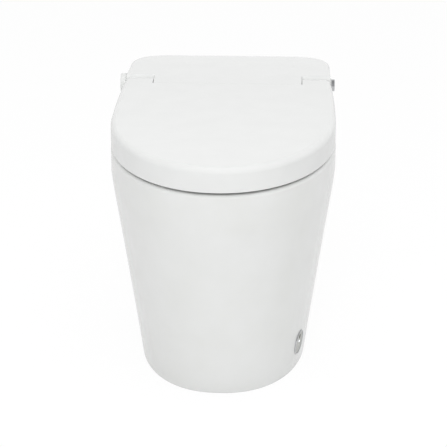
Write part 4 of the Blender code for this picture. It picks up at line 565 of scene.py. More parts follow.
def box(name, half, low, high, edge=0.0, steps=3, place=None, middle_x=0.0):
    """A box of a half width, between two corners (y, z), with rounded edges where edge is given."""
    low, high = Vector((middle_x - half, *low)), Vector((middle_x + half, *high))
    shape = bmesh.new()
    bmesh.ops.create_cube(shape, size=1.0)
    shape.transform(Matrix.Translation((high + low) / 2) @ Matrix.Diagonal((*(high - low), 1.0)))
    if edge:
        bmesh.ops.bevel(shape, geom=shape.edges[:], offset=edge, segments=steps, profile=0.5, affect="EDGES",
                        material=-1)
    return solid(name, shape, place)


def across(name, profile, low_x, high_x):
    """A (y, z) profile extruded along X."""
    shape = bmesh.new()
    face = shape.faces.new([shape.verts.new((low_x, y, z)) for y, z in profile])
    far = bmesh.ops.extrude_face_region(shape, geom=[face])["geom"]
    bmesh.ops.translate(shape, verts=[part for part in far if isinstance(part, bmesh.types.BMVert)],
                        vec=(high_x - low_x, 0, 0))
    return solid(name, shape)


def facing(axis, origin):
    """Turns local Z to an axis and moves it to a place."""
    turn = Vector((0, 0, 1)).rotation_difference(Vector(axis)).to_matrix().to_4x4()
    return Matrix.Translation(Vector(origin)) @ turn


def rod(name, radius, start, end, steps=SMALL_STEPS):
    """A plain cylinder between two points, used to cut holes."""
    run = Vector(end) - Vector(start)
    shape = bmesh.new()
    bmesh.ops.create_cone(shape, cap_ends=True, segments=steps, radius1=radius, radius2=radius, depth=run.length)
    return solid(name, shape, facing(run.normalized(), (Vector(start) + Vector(end)) / 2))


def rod_across(name, radius, start_x, end_x, y, z, steps=SMALL_STEPS):
    return rod(name, radius, (start_x, y, z), (end_x, y, z), steps)


def spun(name, profile, place):
    """Spins an open (radius, height) profile round the local Z axis."""
    shape = bmesh.new()
    corners = [shape.verts.new((radius, 0.0, height)) for radius, height in profile]
    edges = [shape.edges.new(pair) for pair in zip(corners, corners[1:])]
    bmesh.ops.spin(shape, geom=corners + edges, cent=(0, 0, 0), axis=(0, 0, 1), angle=2 * math.pi,
                   steps=TURN_STEPS, use_merge=True)
    return solid(name, shape, place)


def rounded(corners, radius):
    """Rounds the inner corners of an open (radius, height) profile."""
    made = [corners[0]]
    for before, here, after in zip(corners, corners[1:], corners[2:]):
        here = Vector(here)
        back, ahead = Vector(before) - here, Vector(after) - here
        reach = min(radius, back.length * ROUND_REACH_SHARE, ahead.length * ROUND_REACH_SHARE)
        start, end = here + back.normalized() * reach, here + ahead.normalized() * reach
        for t in (step / ROUND_STEPS for step in range(ROUND_STEPS + 1)):
            made.append(tuple((1 - t) ** 2 * start + 2 * t * (1 - t) * here + t ** 2 * end))
    made.append(corners[-1])
    return made


def combine(piece, other, operation):
    """Runs an exact Boolean and keeps its result as the piece's own mesh."""
    step = piece.modifiers.new(operation.title(), "BOOLEAN")
    step.operation = operation
    step.solver = "EXACT"
    step.object = other
    bpy.context.view_layer.update()
    result = bpy.data.meshes.new_from_object(piece.evaluated_get(bpy.context.evaluated_depsgraph_get()))
    piece.modifiers.clear()
    piece.data = result
    bpy.data.objects.remove(other, do_unlink=True)
    return piece


def cut(piece, *cutters):
    for cutter in cutters:
        combine(piece, cutter, "DIFFERENCE")
    return piece


def soften(piece, width=0.0):
    """Breaks the sharp edges that the cuts leave, and evens the shading of the flat faces between."""
    shape = bmesh.new()
    shape.from_mesh(piece.data)
    bmesh.ops.remove_doubles(shape, verts=shape.verts, dist=CUT_MERGE)
    bmesh.ops.dissolve_limit(shape, angle_limit=math.radians(FLAT_WITHIN_DEG), verts=shape.verts, edges=shape.edges)
    shape.to_mesh(piece.data)
    shape.free()
    if width:
        edge = piece.modifiers.new("Broken edges", "BEVEL")
        edge.width = width
        edge.segments = BREAK_STEPS
        edge.limit_method = "ANGLE"
        edge.angle_limit = math.radians(BREAK_FROM_DEG)
    return piece


def dressed(piece, look, body, *instead):
    """Gives a new piece its material and shading, hangs it on the body it rides on, and hides the imported parts that
    it takes the place of.
    """
    piece.data.materials.clear()
    piece.data.materials.append(LOOKS[look])
    piece.data.shade_smooth()
    piece.data.set_sharp_from_angle(angle=math.radians(SHARP_FROM_DEG))
    flat = piece.modifiers.new("Even shading", "WEIGHTED_NORMAL")
    flat.keep_sharp = True
    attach(piece, body)
    if instead:
        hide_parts(*instead)
    return piece


def egg(half, front, back, centre_y, z):
    """An egg-shaped ring: a long front and a shorter back."""
    ring = []
    for angle in full_turn(BOWL_STEPS):
        side = math.copysign(abs(math.sin(angle)) ** (2 / BOWL_POWER), math.sin(angle))
        along = math.copysign(abs(math.cos(angle)) ** (2 / BOWL_POWER), math.cos(angle))
        ring.append((half * side, centre_y - (front if along > 0 else back) * along, z))
    return ring


def between(rows, steps):
    """A smooth run of rows through the given ones."""
    ends = [rows[0]] + list(rows) + [rows[-1]]
    run = []
    for before, here, there, after in zip(ends, ends[1:], ends[2:], ends[3:]):
        for step in range(steps):
            t = step / steps
            run.append(tuple((2 * b + (c - a) * t + (2 * a - 5 * b + 4 * c - d) * t ** 2
                              + (3 * b - a - 3 * c + d) * t ** 3) / 2
                             for a, b, c, d in zip(before, here, there, after)))
    run.append(tuple(rows[-1]))
    return run


def bowl(name, wall, lip=0.0):
    """The bowl's inside with a rounded lip, or with a wall its outside."""
    depth = RIM_TOP - BOWL_BOTTOM + wall
    rings = [egg(BOWL_HALF + wall + lip, BOWL_FRONT + wall + lip, BOWL_BACK + wall + lip, BOWL_Y, RIM_TOP + OVERRUN)]
    if lip:
        for angle in quarter_turn(ROUND_STEPS):
            grow = lip * (1 - math.sin(angle))
            rings.append(egg(BOWL_HALF + grow, BOWL_FRONT + grow, BOWL_BACK + grow, BOWL_Y,
                             RIM_TOP - lip + lip * math.cos(angle)))
    for down, width, front, back, drift in between(BOWL_SHARES, BOWL_ROWS)[1 if lip else 0:]:
        y = BOWL_Y + (SUMP_Y - BOWL_Y) * drift
        rings.append(egg(BOWL_HALF * width + wall, BOWL_FRONT * front + wall, BOWL_BACK * back + wall, y,
                         RIM_TOP - depth * down))
    return lofted(name, rings)


def trapway(name, radius, drop):
    """The trapway as a round bar, which runs straight down from its last point."""
    route = [Vector((0.0, y, z)) for y, z in between(TRAP_ROUTE, TRAP_ROWS)]
    route.append(route[-1] - Vector((0, 0, drop)))
    rings = []
    for index, point in enumerate(route):
        ahead = (route[min(index + 1, len(route) - 1)] - route[max(index - 1, 0)]).normalized()
        up = ahead.cross(Vector((1, 0, 0)))
        rings.append([point + Vector((radius * math.cos(angle), 0, 0)) + up * radius * math.sin(angle)
                      for angle in full_turn(TRAP_SIDES)])
    return lofted(name, rings)


def sensor_place():
    """Where the foot sensor sits: local Z points out of the wall, local Y runs up it."""
    def on_wall(turn_deg, z):
        angle = math.radians(turn_deg)
        spots = [Vector((half * math.sin(angle) ** (2 / power), y - depth * math.cos(angle) ** (2 / power), z))
                 for half, depth, y, _, _, _, power in (FOOT_FORM, RIM_FORM)]
        return spots[0].lerp(spots[1], wall_share(z))
    spot = on_wall(SENSOR_TURN_DEG, SENSOR_Z)
    up = (on_wall(SENSOR_TURN_DEG, SENSOR_Z + SENSOR_HALF[1]) - spot).normalized()
    along = (on_wall(SENSOR_TURN_DEG + 1, SENSOR_Z) - spot).normalized()
    out = along.cross(up).normalized()
    return Matrix.Translation(spot) @ Matrix((up.cross(out), up, out)).transposed().to_4x4()


def oval(half_x, half_y, z):
    return [(half_x * math.cos(angle), half_y * math.sin(angle), z) for angle in full_turn(TURN_STEPS)]


def side_x(y, z):
    """Half width of the pedestal's side at a place behind its widest point."""
    halves = []
    for half, _, widest_y, rear_half, back_y, corner, _ in (FOOT_FORM, RIM_FORM):
        along = (y - widest_y) / (back_y - corner - widest_y)
        halves.append(half - (half - rear_half) * along ** SIDE_POWER)
    return halves[0] + (halves[1] - halves[0]) * wall_share(z)


def cap_seat_x():
    return side_x(SIDE_HOLE[0] + SIDE_CAP_R, SIDE_HOLE[1] - SIDE_CAP_R) - GAP


def pedestal():
    """The fired body: skirt, rim, bowl, trapway and bay under one glaze."""
    turns = quarter_turn(ROUND_STEPS, 1)
    rings = [at_height(outline(*FOOT_FORM, FOOT_ROUND), 0.0)]
    rings += [wall_outline(FOOT_ROUND * (1 - math.cos(angle)), FOOT_ROUND * (1 - math.sin(angle))) for angle in turns]
    steps = [WALL_BEND * step / WALL_STEPS for step in range(1, WALL_STEPS + 1)]
    rings += [wall_outline(RIM_TOP * share) for share in steps] + [wall_outline(RIM_TOP - RIM_ROUND)]
    rings += [wall_outline(RIM_TOP - RIM_ROUND + RIM_ROUND * math.sin(angle), RIM_ROUND * (1 - math.cos(angle)))
              for angle in turns]
    body = lofted("glazed_body", rings)

    inner = outline(*FOOT_FORM, CERAMIC_WALL + FOOT_ROUND)
    void = lofted("void", [at_height(inner, -OVERRUN), at_height(inner, 0.0)]
                  + [wall_outline(RIM_TOP * share, CERAMIC_WALL) for share in steps[2::3]]
                  + [wall_outline(VOID_TOP, CERAMIC_WALL)])
    cut(void, bowl("bowl_wall", CERAMIC_WALL), trapway("trap_wall", TRAP_BORE + CERAMIC_WALL, SPIGOT),
        box("bay_wall", BAY_HALF + CERAMIC_WALL, (BAY_FRONT_Y - CERAMIC_WALL, BAY_FLOOR - CERAMIC_WALL),
            (BACK_Y, RIM_TOP)),
        box("window_wall", WINDOW_HALF + CERAMIC_WALL, (BOWL_Y, WINDOW_FLOOR - CERAMIC_WALL), (BAY_BACK_Y, RIM_TOP)))
    cut(body, void, bowl("bowl_hollow", 0.0, BOWL_LIP), trapway("trap_hollow", TRAP_BORE, SPIGOT + OVERRUN),
        box("bay", BAY_HALF, (BAY_FRONT_Y, BAY_FLOOR), (BAY_BACK_Y, RIM_TOP + OVERRUN), RIM_ROUND),
        box("window", WINDOW_HALF, (SUMP_Y, WINDOW_FLOOR), (BAY_FRONT_Y + OVERRUN, RIM_TOP + OVERRUN), WINDOW_ROUND),
        box("service", SERVICE_HALF, (BAY_BACK_Y - BAY_HALF / 2, -SERVICE_TOP), (BACK_Y + OVERRUN, SERVICE_TOP),
            SERVICE_ROUND, ROUND_STEPS))
    for x, radius in PIPE_HOLES:
        cut(body, rod("pipe_hole", radius, (x, BAY_BACK_Y - OVERRUN, PIPE_Z), (x, BACK_Y + OVERRUN, PIPE_Z)))
    deck_x, deck_y, deck_r = DECK_HOLE
    bolt_y, bolt_z, bolt_r = SIDE_HOLE
    for side in (-1, 1):
        cut(body, rod("deck_hole", deck_r, (side * deck_x, deck_y, VOID_TOP - OVERRUN),
                      (side * deck_x, deck_y, RIM_TOP + OVERRUN)),
            rod_across("side_hole", bolt_r, side * FOOT_REAR_HALF / 2, side * RIM_HALF, bolt_y, bolt_z),
            rod_across("cap_seat", SIDE_CAP_R + GAP, side * cap_seat_x(), side * RIM_HALF, bolt_y, bolt_z))
    place = sensor_place()
    seat = SENSOR_HALF[0] + GAP, SENSOR_HALF[1] + GAP
    hole = SENSOR_CASE[0] + RUNNING, SENSOR_CASE[1] + RUNNING
    cut(body, lofted("sensor_seat", [oval(*seat, -SENSOR_SEAT), oval(*seat, OVERRUN)], place),
        lofted("sensor_hole", [oval(*hole, -2 * CERAMIC_WALL), oval(*hole, 0.0)], place))
    dressed(soften(body), "vitreous_glaze", "base", "ceramic_body")


def side_caps():
    """The white covers over the floor bolts."""
    for side, word in ((-1, "left"), (1, "right")):
        profile = rounded([(SIDE_CAP_R, 0.0), (SIDE_CAP_R, SIDE_CAP_THICK), (0.0, SIDE_CAP_THICK)], SIDE_CAP_THICK / 2)
        cap = spun("bolt_cover_" + word, profile + [(0.0, 0.0), (SIDE_CAP_R, 0.0)],
                   facing((side, 0, 0), (side * (cap_seat_x() + GAP), *SIDE_HOLE[:2])))
        dressed(cap, "white_gloss_plastic", "base", "side_cap_" + word)


def hinge_arc(radius, start_deg, end_deg, steps):
    """Points (y, z) round the hinge line. Angles run from the front over the top."""
    return [(HINGE_Y - radius * math.cos(angle), HINGE_Z + radius * math.sin(angle))
            for angle in (math.radians(start_deg + (end_deg - start_deg) * step / steps) for step in range(steps + 1))]


def lid_outline(inset):
    return outline(LID_HALF - inset, LID_DEPTH - inset, WIDEST_Y, LID_REAR_HALF - inset, HINGE_Y + EAR_R + OVERRUN,
                   OVERRUN / 5, FRONT_POWER)


def lid_form(name, inset, under, top, rounding):
    """The lid's outer form, or its hollow, before its ears are shaped."""
    return lofted(name, [at_height(lid_outline(inset), under)]
                  + [at_height(lid_outline(inset + rounding * (1 - math.cos(angle))),
                               top - rounding + rounding * math.sin(angle)) for angle in quarter_turn(ROUND_STEPS + 2)])


def lid():
    """The deep-skirted lid with its two ears round the hinge line."""
    under = LID_TOP - LID_SKIRT
    shell = lid_form("lid_moulding", 0.0, under, LID_TOP, LID_ROUND)
    low = under - OVERRUN
    front = FRONT_Y - OVERRUN
    side = [(front, low), (HINGE_Y + EAR_R / 3, low)] + hinge_arc(EAR_R, *EAR_ARC)[::-1]
    side += [(HINGE_Y, LID_TOP + OVERRUN), (front, LID_TOP + OVERRUN)]
    combine(shell, across("side_form", side, -LID_HALF - OVERRUN, LID_HALF + OVERRUN), "INTERSECT")
    notch_half = TONGUE_HALF + SLOT
    behind = HINGE_Y + 2 * EAR_R
    notch = [(HINGE_Y - JOINT_R, low - OVERRUN)] + hinge_arc(JOINT_R, *JOINT_ARC)
    notch += [(behind, notch[-1][1]), (behind, low - OVERRUN)]
    cut(shell, across("tongue_notch", notch, -notch_half, notch_half))

    hollow = lid_form("hollow", LID_WALL, low, LID_TOP - LID_WALL, LID_ROUND - LID_WALL)
    reach = HINGE_Y - JOINT_R
    combine(hollow, box("front_part", LID_HALF, (front, low - OVERRUN), (reach, LID_TOP + OVERRUN)), "INTERSECT")
    inner = notch_half + LID_WALL
    outer = LID_REAR_HALF - LID_WALL
    cut(shell, hollow, box("rear_part", outer, (reach - OVERRUN, low),
                           (HINGE_Y - EAR_R * EAR_ROOM_SHARE, LID_TOP - LID_WALL)))
    room = hinge_arc(SEAT_EAR_R + 2 * RUNNING, *ROOM_ARC)
    room += [(HINGE_Y, low), (reach - GAP, low), (reach - GAP, room[0][1])]
    for way in (-1, 1):
        cut(shell, across("ear_room", room, *sorted((way * inner, way * outer))),
            rod_across("shaft_hole", SHAFT_R + GAP, way * (notch_half - OVERRUN), way * (LID_REAR_HALF - LID_WALL / 3),
                       HINGE_Y, HINGE_Z))
    dressed(soften(shell, 0.0006), "white_gloss_plastic", "lid", "lid_shell")


def seat():
    """The dished ring with a hinge barrel at each rear corner."""
    outer_points = divided(outline(LID_HALF - SEAT_INSET, LID_DEPTH - SEAT_INSET, WIDEST_Y,
                                   LID_REAR_HALF - SEAT_INSET, SEAT_REAR_Y, SEAT_EDGE, FRONT_POWER), OVERRUN)
    pairs = []
    for x, y in outer_points:
        way_y = y - SEAT_HOLE_Y
        scale = (abs(x / SEAT_HOLE_HALF) ** SEAT_HOLE_POWER
                 + abs(way_y / SEAT_HOLE_REACH) ** SEAT_HOLE_POWER) ** (-1 / SEAT_HOLE_POWER)
        pairs.append(((x, y), (x * scale, SEAT_HOLE_Y + way_y * scale)))
    # Share of the way from the outer edge to the hole, and the height there
    section = between((
        (0.010, SEAT_UNDER), (0.000, SEAT_UNDER + SEAT_EDGE / 3), (0.00, SEAT_CROWN - 2.4 * SEAT_EDGE),
        (0.015, SEAT_CROWN - SEAT_EDGE * 0.8), (0.05, SEAT_CROWN - SEAT_EDGE * 0.16), (0.12, SEAT_CROWN),
        (0.35, SEAT_CROWN), (0.70, SEAT_CROWN - SEAT_DISH / 2), (0.90, SEAT_CROWN - SEAT_DISH * 0.9),
        (0.97, SEAT_CROWN - SEAT_DISH - SEAT_EDGE * 0.25), (1.00, SEAT_CROWN - SEAT_DISH - SEAT_EDGE),
        (0.985, SEAT_UNDER + SEAT_EDGE / 3), (0.97, SEAT_UNDER)), SEAT_ROWS)
    section.append(section[0])
    shape = bmesh.new()
    drawn(shape, [[(x + (hole_x - x) * share, y + (hole_y - y) * share, z) for (x, y), (hole_x, hole_y) in pairs]
                  for share, z in section], ends=False)
    ring = solid("seat_moulding", shape)
    inner = TONGUE_HALF + SLOT + LID_WALL + RUNNING
    outer = LID_REAR_HALF - LID_WALL - RUNNING
    arm_low = HINGE_Z - SEAT_EAR_R * SEAT_ARM_SHARES[0]
    arm_high = HINGE_Z + SEAT_EAR_R * SEAT_ARM_SHARES[1]
    arm = [(HINGE_Y, arm_low), (HINGE_Y, arm_high), (SEAT_REAR_Y - SEAT_EDGE, arm_high - SEAT_EDGE / 2),
           (SEAT_REAR_Y - SEAT_EDGE, arm_low)]
    for way in (-1, 1):
        ends = (way * inner, way * outer)
        combine(ring, rod_across("barrel", SEAT_EAR_R, *ends, HINGE_Y, HINGE_Z, TURN_STEPS), "UNION")
        combine(ring, across("arm", arm, *sorted(ends)), "UNION")
        cut(ring, rod_across("shaft_hole", SHAFT_R + GAP, ends[0] - way * OVERRUN, ends[1] + way * OVERRUN,
                             HINGE_Y, HINGE_Z))
    dressed(soften(ring), "white_gloss_plastic", "seat", "seat_ring")


def house_outline(inset):
    """The housing from above: a tongue between two pockets, and rounded rear corners."""
    front = HINGE_Y - JOINT_R + RUNNING + inset
    side = TONGUE_HALF - inset
    pocket = POCKET_Y + inset + 2 * POCKET_LEAN * (inset > 0)
    half = HOUSE_HALF - inset
    back = BACK_Y - inset
    corner = HOUSE_CORNER - inset
    right = [(side * step / TONGUE_STEPS, front) for step in range(TONGUE_STEPS + 1)]
    right += [(side, front + (pocket - front) * step / POCKET_STEPS) for step in range(1, POCKET_STEPS + 1)]
    right += [(side + (half - side) * step / POCKET_STEPS, pocket) for step in range(1, POCKET_STEPS + 1)]
    right += [(half, pocket + (back - corner - pocket) * step / SIDE_STEPS) for step in range(1, SIDE_STEPS)]
    right += rear_corner(half, back, corner)
    right += [((half - corner) * (1 - step / TONGUE_STEPS), back) for step in range(1, TONGUE_STEPS + 1)]
    return both_sides(right)


def house_top(y):
    """The cover is level over the tongue and falls gently to the back."""
    fall = max(0.0, (y - POCKET_Y) / (BACK_Y - POCKET_Y))
    return LID_TOP - HOUSE_FALL * fall ** HOUSE_FALL_POWER


def house_form(name, inset, under, drop):
    """The cover's outer form, or its hollow. Its edge is round at the sides and back only."""
    rings = [at_height(house_outline(inset), under)]
    centre_y = (POCKET_Y + BACK_Y) / 2
    half = HOUSE_HALF - inset
    for angle in quarter_turn(ROUND_STEPS + 1):
        ring = []
        for x, y in house_outline(inset):
            reach = min(1.0, max(0.0, (y - inset - POCKET_Y - GAP) / HOUSE_CORNER))
            radius = HOUSE_NICK + (HOUSE_ROUND - HOUSE_NICK) * reach
            pull = radius * (1 - math.cos(angle))
            rise = house_top(y) - drop - radius + radius * math.sin(angle)
            shift_x = -math.copysign(pull, x) * min(1.0, abs(x) / half) ** HOUSE_EDGE_POWER if y > POCKET_Y else 0.0
            shift_y = -pull * max(0.0, (y - centre_y) / (BACK_Y - inset - centre_y)) ** HOUSE_EDGE_POWER
            ring.append((x + shift_x, y + shift_y, rise))
        rings.append(ring)
    rings += [[(x * share, y, z) for x, y, z in ring] for share in CROWN_SHARES]
    shape = bmesh.new()
    loop = drawn(shape, rings, ends=False)
    bottom = [edge for edge in shape.edges if edge.is_boundary and not set(edge.verts) <= set(loop)]
    bmesh.ops.edgeloop_fill(shape, edges=bottom)
    return solid(name, shape)


def rear_cover():
    """The shell over the rear housing."""
    under = RIM_TOP + GAP
    cover = house_form("rear_cover", 0.0, under, 0.0)
    front = HINGE_Y - JOINT_R + RUNNING
    relief = [(front - OVERRUN, HINGE_Z)] + hinge_arc(JOINT_R - RUNNING, *JOINT_ARC)
    relief += [(relief[-1][0], LID_TOP + 2 * OVERRUN), (front - OVERRUN, LID_TOP + 2 * OVERRUN)]
    cut(cover, across("nose_relief", relief, -HOUSE_HALF, HOUSE_HALF))
    slope_y = POCKET_Y + POCKET_RISE * math.tan(math.radians(POCKET_LEAN_DEG))
    slope_z = HINGE_Z + POCKET_RISE
    # Above there the pocket's wall falls back at 45 degrees
    round_y = slope_y + LID_TOP - slope_z + POCKET_ROUND * math.tan(math.pi / 8)
    lean = [(POCKET_Y - OVERRUN, HINGE_Z), (POCKET_Y, HINGE_Z), (slope_y, slope_z)]
    for step in range(ROUND_STEPS + 1):
        angle = math.pi / 4 * (1 + step / ROUND_STEPS)
        lean.append((round_y - POCKET_ROUND * math.cos(angle), LID_TOP - POCKET_ROUND + POCKET_ROUND * math.sin(angle)))
    lean += [(round_y, LID_TOP + OVERRUN), (POCKET_Y - OVERRUN, LID_TOP + OVERRUN)]
    for way in (-1, 1):
        ends = sorted((way * (TONGUE_HALF + SLOT / 2), way * (HOUSE_HALF + OVERRUN)))
        cut(cover, across("pocket_lean", lean, *ends))
    cut(cover, house_form("hollow", PLASTIC_WALL, under - OVERRUN, PLASTIC_WALL),
        box("mouth", MOUTH_HALF, (front - OVERRUN, under - OVERRUN), (APRON_Y + 2 * PLASTIC_WALL, MOUTH_TOP)))
    for way in (-1, 1):
        cut(cover, rod_across("shaft_hole", SHAFT_R + RUNNING, way * (TONGUE_HALF - 2 * PLASTIC_WALL),
                              way * (TONGUE_HALF + OVERRUN), HINGE_Y, HINGE_Z))
    wall = HOUSE_HALF - 2 * PLASTIC_WALL
    cut(cover, rod_across("spindle_hole", DIAL_SPINDLE_R + RUNNING, -wall, -HOUSE_HALF - OVERRUN, CONTROL_Y, CONTROL_Z),
        rod_across("knob_hole", KNOB_R + RUNNING, wall, HOUSE_HALF + OVERRUN, CONTROL_Y, CONTROL_Z, TURN_STEPS))
    dressed(soften(cover, 0.0005), "white_gloss_plastic", "base", "housing_cover")


def deck_tray():
    """Foam gasket and tray under the cover, with the apron down to the window and the board's bosses."""
    edge = house_outline(PLASTIC_WALL + RUNNING)
    low = RIM_TOP + GAP
    gasket = slab("foam_gasket", edge, low, low + GASKET)
    cut(gasket, box("mouth", MOUTH_HALF, (FRONT_Y, low - OVERRUN), (BAY_BACK_Y - CERAMIC_WALL, low + OVERRUN)))
    tray = slab("deck_tray", edge, TRAY_Z, TRAY_TOP)
    cut(tray, box("clear_of_cover", MOUTH_HALF + RUNNING, (FRONT_Y, TRAY_Z - OVERRUN),
                  (APRON_Y + PLASTIC_WALL / 2, TRAY_TOP + OVERRUN)))
    combine(tray, box("apron", WINDOW_HALF - WINDOW_ROUND - GAP, (APRON_Y, WINDOW_FLOOR + RUNNING),
                      (APRON_Y + PLASTIC_WALL, MOUTH_TOP - RUNNING)), "UNION")
    board_x, board_y, wide, long = BOARD
    for x in (board_x + BOSS_INSET, board_x + wide - BOSS_INSET):
        for y in (board_y + BOSS_INSET, board_y + long - BOSS_INSET):
            combine(tray, rod("boss", BOSS_R, (x, y, TRAY_Z + PLASTIC_WALL / 2), (x, y, TRAY_TOP + BOARD_RISE - GAP)),
                    "UNION")
    hose_x, hose_z, hose_r = HOSE
    cut(tray, rod("hose_hole", hose_r + 3 * RUNNING, (hose_x, APRON_Y - OVERRUN, hose_z),
                  (hose_x, APRON_Y + OVERRUN, hose_z)))
    slope = Matrix.Translation(SLOPE_START) @ Matrix.Rotation(math.radians(SLOPE_DEG), 4, "X")
    for x, half, rise, end in SLOPE_SLOTS:
        cut(tray, box("slope_slot", half + GAP, (-OVERRUN, -rise - GAP), (end, rise + GAP), place=slope, middle_x=x))
    for x in (-DECK_HOLE[0], DECK_HOLE[0]):
        for sheet in (gasket, tray):
            cut(sheet, rod("bolt_hole", BOLT_R + RUNNING, (x, DECK_HOLE[1], low - OVERRUN),
                           (x, DECK_HOLE[1], TRAY_TOP + OVERRUN)))
    dressed(soften(gasket), "soft_rubber", "base", "deck_gasket")
    dressed(soften(tray, 0.0004), "white_satin_plastic", "base", "housing_base")


def beside(side, distance):
    """Turns local Z out of one side of the housing and moves it to a distance from the middle."""
    return facing((side, 0, 0), (side * distance, CONTROL_Y, CONTROL_Z))


def left_control():
    """The dial with its chrome ring behind, and the key in its middle."""
    base = HOUSE_HALF + GAP
    ring_r = DIAL_R - DIAL_CUP - RUNNING
    bore = DIAL_SPINDLE_R + RUNNING
    ring = rounded([(bore, 0.0), (ring_r, 0.0), (ring_r, DIAL_BEZEL), (bore, DIAL_BEZEL)], DIAL_BEZEL / 4)
    dressed(spun("dial_ring", ring + [ring[0]], beside(-1, base)), "chrome", "base", "dial_bezel")
    start = base + DIAL_BEZEL + RUNNING
    thick = DIAL_OUT - start
    well = thick - PUSH_DEPTH
    spindle = start - (HOUSE_HALF - 3 * PLASTIC_WALL)
    profile = [(0.0, -spindle), (DIAL_SPINDLE_R, -spindle), (DIAL_SPINDLE_R, 0.0), (DIAL_R - DIAL_CUP, 0.0)]
    profile += rounded([(DIAL_R - DIAL_CUP, -DIAL_BEZEL), (DIAL_R, -DIAL_BEZEL), (DIAL_R, thick), (PUSH_R + GAP, thick),
                        (PUSH_R + GAP, well), (PUSH_R, well)], thick / 5)
    profile.append((0.0, well))
    dressed(spun("dial_cap", profile, beside(-1, start)), "white_gloss_plastic", "dial", "side_dial")
    floor = DIAL_OUT - PUSH_DEPTH + PUSH_TRAVEL + GAP
    tall = DIAL_OUT + PUSH_PROUD - floor
    key = rounded([(0.0, 0.0), (PUSH_R, 0.0), (PUSH_R, tall), (0.0, tall)], PUSH_PROUD * 1.5)
    dressed(spun("dial_key", key, beside(-1, floor)), "white_satin_plastic", "dial_button", "dial_push_button")


def right_control():
    """The chrome push knob and the white collar round it."""
    inner = HOUSE_HALF - PLASTIC_WALL
    tall = KNOB_OUT - inner
    knob = rounded([(0.0, 0.0), (KNOB_R, 0.0), (KNOB_R, tall), (0.0, tall)], KNOB_COLLAR / 2)
    dressed(spun("push_knob", knob, beside(1, inner)), "chrome", "knob", "side_push_knob")
    bore = KNOB_R + RUNNING
    wide = KNOB_R + KNOB_COLLAR
    collar = rounded([(bore, 0.0), (wide, 0.0), (wide, KNOB_COLLAR), (bore, KNOB_COLLAR)], KNOB_COLLAR / 3)
    dressed(spun("knob_ring", collar + [collar[0]], beside(1, HOUSE_HALF + GAP)), "white_gloss_plastic", "base",
            "knob_collar")


def foot_sensor():
    """Chrome rim, grey plate, smoked window and lamp in their oval recess."""
    place = sensor_place()
    half_x, half_y = SENSOR_HALF
    floor = -SENSOR_SEAT + GAP
    edge = SENSOR_RIM / 2
    rings = [oval(half_x, half_y, floor)]
    for step in range(2 * ROUND_STEPS + 1):
        angle = math.pi * step / (2 * ROUND_STEPS)
        pull = edge * (1 - math.cos(angle))
        rings.append(oval(half_x - pull, half_y - pull, SENSOR_PROUD - edge + edge * math.sin(angle)))
    rings.append(oval(half_x - SENSOR_RIM, half_y - SENSOR_RIM, floor))
    rings.append(rings[0])
    shape = bmesh.new()
    drawn(shape, rings, ends=False)
    dressed(solid("sensor_rim", shape, place), "chrome", "base", "foot_sensor_bezel")
    top = SENSOR_PROUD - edge
    inner = half_x - SENSOR_RIM - GAP, half_y - SENSOR_RIM - GAP
    plate = lofted("sensor_face", [oval(*inner, floor), oval(*inner, top - GAP),
                                   oval(inner[0] - GAP, inner[1] - GAP, top)], place)
    for name, node, rise, radius, look in (("sensor_window", "foot_sensor_lens", LENS_RISE, LENS_R, "clear_lens"),
                                           ("sensor_light", "foot_sensor_lamp", LAMP_RISE, LAMP_R, "lamp_white")):
        spot = place @ Matrix.Translation((0, rise, 0))
        cut(plate, spun("hole", [(0.0, floor - OVERRUN), (radius + GAP, floor - OVERRUN), (radius + GAP, OVERRUN),
                                 (0.0, OVERRUN)], spot))
        dome = [(0.0, floor), (radius, floor), (radius, top)]
        dome += [(radius * math.cos(angle), top + edge / 2 * math.sin(angle)) for angle in quarter_turn(ROUND_STEPS, 1)]
        dressed(spun(name, dome, spot), look, "base", node)
    dressed(soften(plate), "grey_plastic", "base", "foot_sensor_plate")


def soft_sky(tree):
    """Strength of the light from all round: a broad soft glow from each white wall of the room and from above."""
    way = add(tree, "ShaderNodeTexCoord").outputs["Generated"]
    total = 0.0
    for side, strength in WALL_GLOWS:
        along = add(tree, "ShaderNodeVectorMath", {0: way, 1: side}, operation="DOT_PRODUCT").outputs["Value"]
        glow = maths(tree, "POWER", maths(tree, "MAXIMUM", along, 0.0), GLOW_POWER)
        total = maths(tree, "MULTIPLY_ADD", glow, strength, total)
    return total


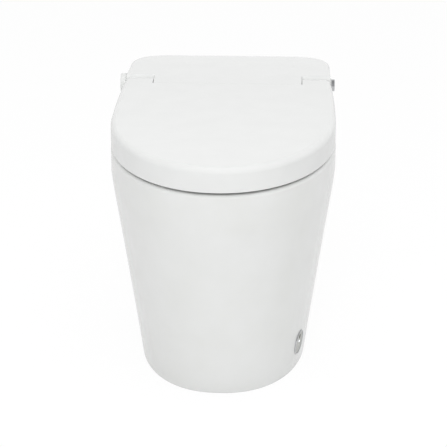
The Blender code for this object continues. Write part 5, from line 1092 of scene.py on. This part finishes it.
def studio():
    """A pale floor, a white surround for the camera, soft light from all round, and two soft lamps."""
    shape = bmesh.new()
    bmesh.ops.create_grid(shape, x_segments=1, y_segments=1, size=FLOOR_HALF)
    floor = solid("studio_floor", shape)
    material = bpy.data.materials.new("matt_white_floor")
    tree = cleared(material)
    ray = add(tree, "ShaderNodeLightPath").outputs
    matt = add(tree, "ShaderNodeBsdfDiffuse", {"Color": shade("F4F4F4")})
    lit = add(tree, "ShaderNodeEmission", {"Color": shade("FFFFFF"),
                                           "Strength": ranged(tree, ray["Is Camera Ray"], FLOOR_GLOW, FLOOR_SEEN)})
    seen = maths(tree, "MAXIMUM", ray["Is Camera Ray"], ray["Is Glossy Ray"])
    share = maths(tree, "MULTIPLY", seen, FLOOR_LIT_SHARE)
    mixed = add(tree, "ShaderNodeMixShader", {0: share, 1: matt.outputs[0], 2: lit.outputs[0]})
    add(tree, "ShaderNodeOutputMaterial", {"Surface": mixed.outputs[0]})
    floor.data.materials.append(material)

    world = bpy.data.worlds.new("studio")
    bpy.context.scene.world = world
    tree = cleared(world)
    ray = add(tree, "ShaderNodeLightPath").outputs
    seen = maths(tree, "MAXIMUM", ray["Is Camera Ray"], ray["Is Transmission Ray"])
    sky = add(tree, "ShaderNodeBackground", {"Color": shade("FFFFFF"),
                                             "Strength": ranged(tree, seen, soft_sky(tree), 1.0)})
    add(tree, "ShaderNodeOutputWorld", {"Surface": sky.outputs[0]})

    for name, spot, aim, width, height, watts in LAMPS:
        light = bpy.data.lights.new(name, "AREA")
        light.shape = "RECTANGLE"
        light.size = width
        light.size_y = height
        light.energy = watts
        lamp = bpy.data.objects.new(name, light)
        lamp.visible_glossy = False
        lamp.matrix_world = (Matrix.Translation(spot)
                             @ (Vector(aim) - Vector(spot)).to_track_quat("-Z", "Y").to_matrix().to_4x4())
        bpy.context.collection.objects.link(lamp)


def camera():
    """The camera that took the photograph."""
    data = bpy.data.cameras.new("photo_camera")
    data.lens = CAMERA_LENS_MM
    data.sensor_width = CAMERA_SENSOR_MM
    eye = bpy.data.objects.new("photo_camera", data)
    eye.location = CAMERA_AT
    eye.rotation_euler = (math.radians(CAMERA_TILT_DEG), 0.0, math.radians(CAMERA_TURN_DEG))
    bpy.context.collection.objects.link(eye)
    bpy.context.scene.camera = eye


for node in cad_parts.values():
    for place in node.material_slots:
        place.material = LOOKS[place.material.name.split(".")[0]]
for build in (pedestal, side_caps, seat, lid, rear_cover, deck_tray, left_control, right_control, foot_sensor, studio,
              camera):
    build()
bpy.context.scene.view_settings.view_transform = "Standard"
